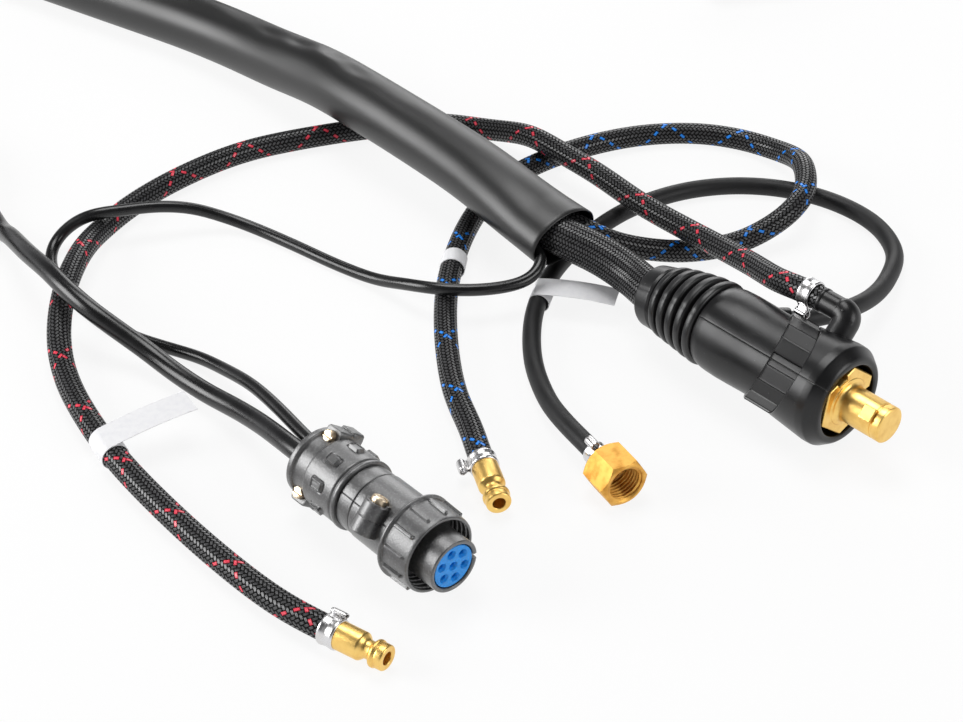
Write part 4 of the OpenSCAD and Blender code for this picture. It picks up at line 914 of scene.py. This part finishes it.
def makeLabel(name, node, at, yaw, thick, wide, flag=None):
    # A band round the hose, and a flag that leaves it along a tangent and droops.
    where = seat(at, yaw)
    r = thick / 2 + 0.12
    band = [(0, r + 0.05), (0.1, r + 0.42), (wide - 0.1, r + 0.42), (wide, r + 0.05), (wide / 2, r - 0.05),
            (0, r + 0.05)]
    shape = Shape().grid(turnedGrid(rounded(band, 0.12, 2), where, 64), ends=False)
    if flag:
        a = math.radians(flag["turn"])
        out, across = np.array([math.cos(a), math.sin(a), 0]), np.array([-math.sin(a), math.cos(a), 0])
        t = np.linspace(0, 1, 26)[:, None]
        rise = r + 0.3 + flag["bend"] * np.sin(t * 2.6) - flag["drop"] * t * t
        line = (flag["from"] + t * flag["reach"]) * out + rise * across + [0, 0, wide / 2]
        shape.grid(sweepGrid(seated(line, where), wide / 2, 0.14, where[1] @ [0, 0, 1], 16, 0.35))
    shape.made(name, "label", sharp=50, replaces=[node])


# name, node, a point of the hose, heading there, hose, tape's width, its place past the point, flag
labelTapes = (
    ("waterOutLabel", "water_out_label", (-182, -179, -13.7), (31, -7), 8.6, 11.5, 19.0,
     {"turn": 97, "from": -1.0, "reach": 32, "drop": 0.6, "bend": 0.8}),
    ("waterInLabel", "water_in_label", (-164, -24, -13.7), (16, -19), 8.4, 7.5, 2.2, None),
    ("gasLabel", "gas_label", (-130, -9, -14.6), (13, -20), 6.7, 10.5, 5.2,
     {"turn": 94, "from": -2.2, "reach": 30, "drop": 2.2, "bend": 0.7}),
)


def makeFittings():
    out, into, gas = waterOutHose["thick"], waterInHose["thick"], gasHose["thick"]
    makeClamp("elbowClamp", "elbow_clamp", seat(elbowEnd - [8, 0, 0]), out, 330)
    before = lambda end, back, yaw: seat(end - back * direction(yaw), yaw)
    makeClamp("waterOutClamp", "water_out_clamp", before(outEnd, 6.1, outYaw), out, 140, 6.0, 0.5)
    makeClamp("waterInClamp", "water_in_clamp", before(inEnd, 6.1, inYaw), into, 270)
    makeClamp("gasClamp", "gas_clamp", before(gasEnd, 6.2, nutYaw), gas, 200)
    makeNipple("waterOutNipple", "water_out_nipple", outEnd, outYaw)
    makeNipple("waterInNipple", "water_in_nipple", inEnd, inYaw)
    for name, node, at, heading, thick, wide, past, flag in labelTapes:
        yaw = math.degrees(math.atan2(heading[1], heading[0]))
        makeLabel(name, node, np.array(at) + past * direction(yaw), yaw, thick, wide, flag)


# control plug; places are on its axis, from its front face to the rear
barrel = {"line": ((-23, 7.75), (-23, 9.35), (-15.9, 9.35), (-15.9, 9.2), (-0.35, 9.2), (0, 8.9), (0, 8.15),
                   (-0.45, 7.75), (-3, 7.75)), "slotTurn": 88, "slotHalf": 5.7, "slotFloor": -2.6}
insert = {"back": -19, "face": -0.5, "edge": -0.7, "r": 7.4, "ring": 4.8, "turn": 8, "count": 6,
          "funnel": (1.0, 1.75, 0.9), "hole": (0.92, 1.04, 2.6)}  # radii where the face sinks, and its depth


def makeBarrel():
    # A tube whose rim is cut through by one key slot.
    line = rounded(barrel["line"], 0.18)
    grid = turnedGrid(line, seat([0, 0, 0], pitch=90), 192)
    slot = apart(evenTurns(192), barrel["slotTurn"]) < barrel["slotHalf"]
    rim = line[:, 0] > barrel["slotFloor"]
    grid[..., 2] = np.where(slot & rim[:, None], np.minimum(grid[..., 2], barrel["slotFloor"]), grid[..., 2])
    shape = Shape().grid(seated(grid, plugSeat))
    shape.made("plugBarrel", "plug_plastic", sharp=34, replaces=["plug_barrel"])


def makeInsert():
    # A disc with a contact hole in its middle and a ring of them round it, each in a funnel.
    radii = np.concatenate([[0.4, insert["r"], insert["r"]], np.linspace(insert["r"] - 0.04, 0.05, 100)])
    z = np.concatenate([[insert["back"], insert["back"], insert["edge"]], np.full(100, insert["face"])])
    t = np.radians(evenTurns(260))
    x, y = radii[:, None] * np.cos(t), radii[:, None] * np.sin(t)
    turns = np.radians(insert["turn"] + evenTurns(insert["count"]))
    holes = [(0, 0), *zip(insert["ring"] * np.cos(turns), insert["ring"] * np.sin(turns))]
    near = np.min([np.hypot(x - hx, y - hy) for hx, hy in holes], axis=0)
    sink = sum(deep * (1 - step(near, low, high)) for low, high, deep in (insert["funnel"], insert["hole"]))
    sink[:3] = 0
    shape = Shape().grid(seated(np.stack([x, y, z[:, None] - sink], 2), plugSeat))
    shape.made("plugInsert", "insert_blue", sharp=40, replaces=["plug_insert"])


ring = {
    "line": ((-19.5, 9.6), (-19.5, 14.3), (-19.1, 14.75), (-18.3, 14.75), (-18.0, 13.75), (-7.9, 13.45),
             (-7.2, 13.3), (-7.0, 12.9), (-7.1, 12.3), (-15.8, 12.3), (-16.2, 9.6)),
    "round": [0.2, 0.3, 0.3, 0.2, 0.3, 0.5, 0.3, 0.2, 0.3, 0.4, 0.2],
    "ribs": 12, "ribTurn": 9, "ribMiddle": -13.2, "ribHalf": 3.6, "ribHigh": 0.95, "ribWide": (0.4, 0.72),
    "thread": {"pitch": 2.1, "starts": 3, "core": 12.25, "deep": 0.42, "floor": 12.0, "bore": 9.6}}


def makeRing():
    # Capsule-shaped ribs outside, and a thread of several starts inside.
    line, turns, thread = rounded(ring["line"], ring["round"]), evenTurns(300), ring["thread"]
    z = np.linspace(-17.7, -8.0, 44)
    ribbed = np.stack([z, np.interp(z, [-18, -7.9], [13.75, 13.45])], 1)
    skin = np.concatenate([line[:16], ribbed, line[19:32]])
    aside = apart(turns, ring["ribTurn"], 360 / ring["ribs"]) * 0.2409  # millimetres on the skin
    past = np.maximum(abs(skin[:, :1] - ring["ribMiddle"]) - ring["ribHalf"], 0)
    outer = skin[:, 1:] + ring["ribHigh"] * (1 - step(np.hypot(aside, past), *ring["ribWide"]))
    z = np.linspace(-7.4, -15.4, 60)
    wave = np.sin(2 * math.pi * (z[:, None] / thread["pitch"] - thread["starts"] * turns / 360))
    radii = [outer, thread["core"] + thread["deep"] * step(wave, -0.3, 0.5),
             np.full((1, 300), thread["floor"]), np.full((1, 300), thread["bore"])]
    grid = ringGrid([*skin[:, 0], *z, -15.8, -16.2], np.concatenate(radii), turns, plugSeat)
    shape = Shape().grid(grid)
    shape.made("plugRing", "plug_plastic", body="plug_ring", sharp=40, replaces=["plug_ring"])


shell = {
    "line": ((-43.8, 9.5), (-43.8, 11.0), (-43.4, 11.3), (-37.9, 11.4), (-37.6, 10.95), (-37.3, 11.5),
             (-36.8, 11.65), (-21, 11.7), (-20, 11.5), (-19.8, 9.5)),
    "round": [0.2, 0.3, 0.3, 0.12, 0.15, 0.2, 0.3, 0.6, 0.3, 0.2],
    "parting": 231, "partingDeep": 0.16, "towerAt": -28, "towerOut": 12, "towerTurn": 141,
    "web": {"half": (5.4, 2.1, 4.1), "aside": 2.0}, "screw": {"seat": 4.4, "r": 2.9, "high": 2.5},
    "tower": ((-6.2, 0.5), (-6.2, 4.1), (-5.8, 4.5), (-0.8, 4.5), (-0.6, 4.25), (-0.4, 4.5), (4.4, 4.5),
              (4.8, 4.2), (4.8, 3.2), (4.3, 3.0), (4.3, 0.4))}
plugOut, plugUp = radial(plugSeat, shell["towerTurn"]), radial(plugSeat, shell["towerTurn"] - 90)


def makeShell():
    # The body with its parting line, and the tower of the screw on its side.
    parting = lambda z, t: -shell["partingDeep"] * hump(apart(t, shell["parting"]), 0.75)
    line = rounded(shell["line"], shell["round"])
    shape = Shape().grid(turnedGrid(line, plugSeat, 360, parting))
    foot = plugSeat[0] + plugSeat[1] @ [0, 0, shell["towerAt"]] + plugOut * shell["towerOut"]
    base = facing(foot, plugUp, plugOut)
    shape.grid(turnedGrid(rounded(shell["tower"], 0.15), base, 64))
    web, screw = shell["web"], shell["screw"]
    along, across, high = web["half"]
    shape.grid(boxGrid(block(-along, along, across, high, 0.4), shifted(base, x=-web["aside"]), 0.5))
    shape.made("plugShell", "plug_plastic", sharp=36, replaces=["plug_shell"])
    spot = shifted(base, z=screw["seat"])
    top = Shape().grid(slottedHead(spot, screw["r"], screw["high"], deep=0.9, dome=0.6))
    top.made("shellScrew", "zinc_yellow", sharp=36, replaces=["shell_screw"])


back = {
    "line": ((-68.3, 9.2), (-68.3, 11.8), (-67.9, 12.15), (-66.3, 12.15), (-65.9, 11.8), (-65.7, 11.0),
             (-60.5, 11.0), (-60.2, 11.5), (-59.7, 12.15), (-46.6, 12.25), (-46.0, 11.8), (-45.6, 12.1),
             (-45.2, 12.5), (-44.2, 12.5), (-43.8, 12.2), (-43.8, 11.0)),
    "round": [0.2, 0.3, 0.3, 0.3, 0.3, 0.5, 0.4, 0.3, 0.6, 0.3, 0.2, 0.2, 0.3, 0.3, 0.2, 0.2],
    "bosses": 8, "bossTurn": 20, "bossMiddle": -53.2, "bossHalf": (0.9, 1.7)}


def makeBack():
    # The back shell, ringed by raised bosses with a dimple in each and a shallow groove round it.
    line, turns = rounded(back["line"], back["round"]), evenTurns(360)
    z = np.linspace(-59.0, -47.2, 56)
    bossed = np.stack([z, np.interp(z, [-59.7, -46.6], [12.15, 12.25])], 1)
    skin = np.concatenate([line[:33], bossed, line[33:]])
    across, along = back["bossHalf"]
    aside = apart(turns, back["bossTurn"], 360 / back["bosses"]) * 0.214  # millimetres on the skin
    past = abs(skin[:, :1] - back["bossMiddle"]) - along
    spot = np.hypot(np.maximum(aside - across, 0), np.maximum(past, 0))
    rise = (1 - step(spot, 0.6, 0.9)) - 0.4 * (1 - step(spot, 0.1, 0.4)) - 0.3 * hump(spot - 1.1, 0.2)
    shape = Shape().grid(ringGrid(skin[:, 0], skin[:, 1:] + rise, turns, plugSeat))
    shape.made("plugBack", "plug_plastic", sharp=36, replaces=["plug_back"])


saddle = {"at": -63.4, "aside": 10.4, "foot": -6.8, "top": 4.4, "half": (3.3, 3.5),
          "ledge": {"top": -1.6, "half": (2.4, 3.4), "out": 1.6}, "screw": {"r": 2.1, "high": 2.4}}


def makeSaddle():
    # Strain relief: two blocks that press on the leads, each with a ledge outside and its screw.
    bars, screws = Shape(), Shape()
    foot, top, ledge, screw = saddle["foot"], saddle["top"], saddle["ledge"], saddle["screw"]
    for way in (-1, 1):
        middle = plugSeat[0] + plugSeat[1] @ [0, 0, saddle["at"]] + way * saddle["aside"] * plugUp
        spot = facing(middle, plugOut, plugUp)
        out = shifted(spot, x=ledge["out"] * way)
        bars.grid(boxGrid(block(foot, top, *saddle["half"], 0.4), spot, 1.2))
        bars.grid(boxGrid(block(foot, ledge["top"], *ledge["half"], 0.5), out, 0.9))
        screws.grid(slottedHead(shifted(spot, z=top), screw["r"], screw["high"], slot=0.38, dome=0.4))
    bars.made("plugSaddle", "plug_plastic", sharp=40, replaces=["plug_saddle"])
    screws.made("saddleScrews", "zinc_yellow", sharp=36, replaces=["saddle_screws"])


socket = {
    "foot": ((0, 3.6), (0, 5.6)), "ribs": 4, "rib": 2.6, "ribGrows": 0.35,
    "body": ((12, 7.4), (12.2, 9.0), (14, 10.4), (15, 10.5), (36, 10.6), (36.4, 9.9), (37.2, 9.9),
             (37.6, 11.0), (61, 11.1), (62, 10.4), (62, 8.8), (61, 8.6), (50.2, 8.6)),
    "ring": (38.2, 60.4), "ringR": 11.05,
    "mouth": ((61, 10.95), (61.7, 10.7), (62, 10.3), (62, 8.9), (61.6, 8.6), (50.2, 8.6)),
    "flutes": 20, "fluteDeep": 0.5, "fluteAlong": (40.5, 42, 57, 58.5)}


def makeRemoteSocket(at, yaw):
    # Ribbed strain relief, body and a fluted coupling ring; the solid insert sits in its mouth.
    ribs = [(z + socket["rib"] * k, r + socket["ribGrows"] * k) for k in range(socket["ribs"])
            for z, r in ((1.2, 5.9), (2.7, 6.0), (2.9, 5.1), (3.6, 5.1))]
    line = rounded([*socket["foot"], *ribs, *socket["body"]], 0.3)
    line = np.concatenate([line[line[:, 0] < 38][:-1],
                           [(z, socket["ringR"]) for z in np.linspace(*socket["ring"], 60)], socket["mouth"]])
    rise0, rise1, fall0, fall1 = socket["fluteAlong"]
    flutes = lambda z, t: (-socket["fluteDeep"] * step(np.cos(np.radians(t * socket["flutes"])), 0.2, 0.8)
                           * step(z, rise0, rise1) * (1 - step(z, fall0, fall1)))
    shape = Shape().grid(turnedGrid(line, seat(at, yaw), 216, flutes))
    shape.made("remoteSocket", "plug_plastic", sharp=36, replaces=["remote_socket"])


# torch handle; places are on its axis, from the gland to the head
handle = {
    "line": ((12.1, 14.5), (13.2, 15.3), (22.1, 16), (122.1, 16), (150.1, 12), (161.4, 12), (162.1, 11.6)),
    "wall": 2.6, "chamfer": 0.5, "grip": (38, 44, 80, 86), "gripPitch": 4.2, "gripDeep": 0.9,
    "well": (91.8, 118.4), "wellHalf": 5.0, "wellFloor": -10.5, "wellEdge": 0.35,
    "screws": ((34.1, 16.0, 14.5), (140.1, 13.43, 11.93)),  # place, the handle's radius, floor of the well
    "screwWell": (2.9, 3.15), "screwR": 2.75, "screwHigh": 1.3,
    "gland": ((0, 12.3), (0, 13.6), (0.6, 14.1), (1.6, 14.2), (2.0, 13.5), (2.8, 13.5), (3.2, 14.4),
              (5.0, 14.6), (5.4, 13.8), (6.2, 13.8), (6.6, 14.8), (8.4, 15.0), (8.8, 14.1), (9.6, 14.1),
              (10.0, 14.9), (11.9, 14.9), (12, 11.7), (15.9, 11.7), (16, 9))}
button = {"from": 92.35, "to": 117.85, "half": 4.75, "top": -17.3, "thick": 12.3,
          "dish": 0.9, "dishAt": 105, "ribPitch": 2.3, "ribHigh": 0.22}


def makeHalf(side, name, node, where):
    # A half shell whose ribbed grip fades out near the joint, with a well for the button on the left
    # one (side -1) and wells for the screws on the right one.
    screwAt, _, screwFloor = np.array(handle["screws"]).T
    atEdges = [12.1, 12.6, 13.2, 91.9, 92.3, 117.9, 118.3, 161.4, 162.1]
    atScrews = (screwAt[:, None] + np.linspace(-3.4, 3.4, 18)).ravel()
    z = np.concatenate([np.arange(12.1, 162.1, 0.9), atEdges, atScrews])
    z = np.unique(np.round(z, 2))[:, None]
    turn = np.concatenate([np.linspace(0.35, 60, 30), np.linspace(61, 119, 60), np.linspace(120, 179.65, 30)])
    away = abs(turn - 90)
    start0, start1, end0, end1 = handle["grip"]
    grip = step(z, start0, start1) * (1 - step(z, end0, end1)) * (1 - step(away, 58, 70))
    r = np.interp(z, *zip(*handle["line"])) * np.ones(len(turn))
    r = r - handle["gripDeep"] * grip * step(np.cos(2 * math.pi * z / handle["gripPitch"]), 0.1, 0.8)
    r = r - handle["chamfer"] * (1 - step(abs(90 - away), 0.0, 1.6))  # along the joint
    a = np.radians(turn)
    x, y = r * np.cos(a), side * r * np.sin(a)
    if side < 0:
        low, high = handle["well"]
        edge, half, floor = handle["wellEdge"], handle["wellHalf"], handle["wellFloor"]
        well = step(z, low, low + edge) * (1 - step(z, high - edge, high))
        well = well * (1 - step(abs(x), half, half + edge))
    else:
        well = np.max([1 - step(np.hypot(x, z - q), *handle["screwWell"]) for q in screwAt], axis=0)
        floor = np.interp(z, screwAt, screwFloor)
    y = y * (1 - well) + floor * well
    z = np.broadcast_to(z, r.shape)
    deep = r - handle["wall"]
    within = side * np.minimum(deep * np.sin(a), abs(y) - 0.8 * well)
    skin, inner = np.stack([x, y, z], 2), np.stack([deep * np.cos(a), within, z], 2)
    loop = np.concatenate([skin, inner[:, ::-1]], 1)
    lip = (loop + loop[:, ::-1]) / 2
    loop = np.concatenate([lip[:1], loop, lip[-1:]])[:, ::side]
    Shape().grid(seated(loop, where), ends=False).made(name, "handle_plastic", sharp=34, replaces=[node])


def makeButton(where):
    # A rounded key with a dished, ribbed top.
    rows, cols = np.linspace(button["from"], button["to"], 80), np.linspace(-1, 1, 33)
    edge = np.minimum(rows - button["from"], button["to"] - rows)
    top = button["top"] + button["dish"] * hump(rows - button["dishAt"], 8.0) + 0.5 * (1 - step(edge, 0, 1.2))
    ribs = step(np.cos(2 * math.pi * rows / button["ribPitch"]), 0, 0.7) * step(edge, 4, 6)
    y = (top + button["ribHigh"] * ribs)[:, None] + 0.9 * abs(cols) ** 5
    upper = np.stack(np.broadcast_arrays(button["half"] * cols, y, rows[:, None]), 2)
    lower = upper[:, ::-1] * [1, 0, 1] - [0, button["thick"], 0]
    shape = Shape().grid(seated(np.concatenate([upper, lower], 1), where))
    shape.made("switchButton", "button_red", body="switch_button", sharp=50, replaces=["switch_button"])


def makeHandle(at):
    where = seat(at)
    makeHalf(-1, "handleLeft", "handle_left", where)
    makeHalf(1, "handleRight", "handle_right", where)
    screws = Shape()
    for q, r, _ in handle["screws"]:
        foot = facing(where[0] + where[1] @ [0, r - 1.6, q], where[1] @ [0, 1, 0], [1, 0, 0])
        screws.grid(slottedHead(foot, handle["screwR"], handle["screwHigh"], slot=0.36, deep=0.7))
    screws.made("handleScrews", "steel", sharp=36, replaces=["handle_screws"])
    gland = Shape().grid(turnedGrid(rounded(handle["gland"], 0.35), where))
    gland.made("handleGland", "boot_rubber", sharp=34, replaces=["handle_gland"])
    makeButton(where)


head = {
    "at": 196.1, "pitch": 70,
    "cover": ((-14, 5.6), (-14, 9.6), (-13.4, 10.5), (-12.2, 11), (12.2, 11), (13.4, 10.5), (14, 9.6),
              (14, 5.6)),
    "neck": ((154.3, 4), (154.3, 9.2), (162.3, 9.2), (162.4, 10.6), (163, 11), (167.5, 11), (168, 10.4),
             (168.9, 10.4), (169.4, 10.6), (172.3, 10.4), (172.8, 9.9), (173.7, 9.9), (174.2, 10.1),
             (177.1, 9.9), (177.6, 9.5), (178.5, 9.5), (179, 9.7), (181, 9.4), (186, 9.0), (204.1, 8.4),
             (205, 6)),
    "capEnd": ((-39.6, 0.05), (-39.6, 5.2), (-38.6, 6.6), (-34, 7.4), (-24, 8.45)),
    "capRound": [0.2, 1.2, 1.5, 2, 1], "capFlutes": 8, "fluteDeep": 0.6,
    "capFoot": ((-16.6, 8.5), (-16.2, 8.4), (-15.8, 8.1), (-15.7, 7.8), (-15.7, 4.1), (-8.4, 4.1),
                (-8.4, 0.7)),
    "cup": ((18.3, 5.2), (18.2, 7.6), (18.5, 8), (31.5, 8), (33, 7.7), (37.6, 6.9), (39, 6.75), (54.4, 6.4),
            (55.1, 6.2), (55.2, 5.6), (54.9, 5.05), (19, 5.05), (18.3, 5.2))}


def makeHead(at):
    # The moulded cover with the neck's ribs, the fluted back cap and the nozzle, on the head's own axis.
    where = seat(np.array(at) + [head["at"], 0, 0], head["pitch"])
    shape = Shape().grid(turnedGrid(rounded(head["cover"], 0.8), where, 120))
    shape.grid(turnedGrid(rounded(head["neck"], 0.5), seat(at)))
    shape.made("headCover", "boot_rubber", sharp=34, replaces=["head_cover"])
    end, turns = rounded(head["capEnd"], head["capRound"], 4)[:-1], evenTurns(192)
    z = np.linspace(-31, -17.2, 60)
    fluted = np.stack([z, np.interp(z, [-34, -24, -17.2], [7.4, 8.45, 8.5])], 1)
    skin = np.concatenate([end, fluted, head["capFoot"]])
    along = step(skin[:, :1], -30, -28.4) * (1 - step(skin[:, :1], -18.4, -17.4))
    aside = apart(turns, 0, 360 / head["capFlutes"]) * 0.148  # millimetres on the skin
    flute = head["fluteDeep"] * (1 - step(aside, 0.5, 1.0)) * along
    cap = Shape().grid(ringGrid(skin[:, 0], skin[:, 1:] - flute, turns, where))
    cap.made("backCap", "handle_plastic", body="back_cap", sharp=40, replaces=["back_cap"])
    cup = Shape().grid(turnedGrid(rounded(head["cup"], 0.4, 4), where), ends=False)
    cup.made("nozzle", "ceramic", sharp=40, replaces=["nozzle"])


# stage
stageSet = {
    "rise": ((0.0, 1.0), (0.12, 0.85), (0.4, 0.1), (1.0, 0.06)),  # the pale room darkens towards its ceiling
    "paper": 0.86, "glow": 0.88, "half": 4.0, "aim": (-0.12, -0.03, 0.0),
    "lamps": {"keySoft": ((-1.0, -1.1, 0.55), 0.8, 18.0), "topSoft": ((-0.5, 0.15, 1.2), 0.7, 9.0),
              "backSoft": ((-0.95, 1.05, 0.5), 0.8, 5.0), "sideSoft": ((0.9, 0.35, 0.6), 0.6, 5.0)}}


def makeRoom():
    # The camera sees a plain backdrop, and everything else the room.
    world = bpy.data.worlds.new("room")
    bpy.context.scene.world = world
    world.use_nodes = True
    room = Tree(world.node_tree)
    spot = room.node("ShaderNodeTexCoord", pick="Generated")
    rise = room.node("ShaderNodeSeparateXYZ", None, spot, pick="Z")
    stops = [(at, (shade, shade, shade * 1.02)) for at, shade in stageSet["rise"]]
    tone = room.node("ShaderNodeValToRGB", {"stops": stops}, rise, pick="Color")
    room.links.new(tone.socket, room.nodes["Background"].inputs["Color"])
    around = Wire(room, room.nodes["Background"].outputs[0])
    backdrop = room.node("ShaderNodeBackground", None, Strength=1.0)
    ray = room.node("ShaderNodeLightPath", pick="Is Camera Ray")
    blend = room.node("ShaderNodeMixShader", None, ray, around, backdrop)
    room.links.new(blend.socket, room.nodes["World Output"].inputs["Surface"])


def makePaper():
    # White paper that glows a little for the camera and in reflections.
    sheet = bpy.data.meshes.new("floor")
    half, z = stageSet["half"], floorZ * mm
    corners = [(-half, -half, z), (half, -half, z), (half, half, z), (-half, half, z)]
    sheet.from_pydata(corners, [], [(0, 1, 2, 3)])
    floor = bpy.data.objects.new("floor", sheet)
    bpy.context.scene.collection.objects.link(floor)
    paper = Finish("paper")
    ray = paper.node("ShaderNodeLightPath", pick="Is Camera Ray")
    glow = paper.node("ShaderNodeEmission", None, Color=(1, 1, 1, 1), Strength=1.0)
    matte = paper.node("ShaderNodeBsdfDiffuse", None, Color=(*[stageSet["paper"]] * 3, 1))
    seen = ray.high(ray.other("Is Glossy Ray")) * stageSet["glow"]
    mixed = paper.node("ShaderNodeMixShader", None, seen, matte, glow)
    paper.links.new(mixed.socket, paper.nodes["Material Output"].inputs["Surface"])
    sheet.materials.append(paper.material)


def makeLamps():
    for name, (place, size, power) in stageSet["lamps"].items():
        data = bpy.data.lights.new(name, "AREA")
        data.size, data.energy = size, power
        lamp = bpy.data.objects.new(name, data)
        lamp.location = place
        aim = Vector(stageSet["aim"]) - Vector(place)
        lamp.rotation_euler = aim.to_track_quat("-Z", "Y").to_euler()
        bpy.context.scene.collection.objects.link(lamp)


makeCamera()
makeFinishes()
for entry in frame["record"]["subparts"]:
    part = nodes[entry["node"]]
    part.data.materials.clear()
    part.data.materials.append(finishes[entry["material_slot"]])
    part.data.set_sharp_from_angle(angle=math.radians(30))
makeHoses()
socketAt = makeLeads()
makePowerCable()
handleAt = makeCover()
print("cords laid")
makeHousing()
makeBoot()
makePin()
makeElbow()
print("power plug made")
makeFittings()
makeNut()
print("hose fittings made")
makeBarrel()
makeInsert()
makeRing()
makeShell()
makeBack()
makeSaddle()
print("control plug made")
makeRemoteSocket(*socketAt)
makeHandle(handleAt)
makeHead(handleAt)
print("handle and head made")
makeRoom()
makePaper()
makeLamps()
bpy.context.scene.view_settings.view_transform = "Standard"
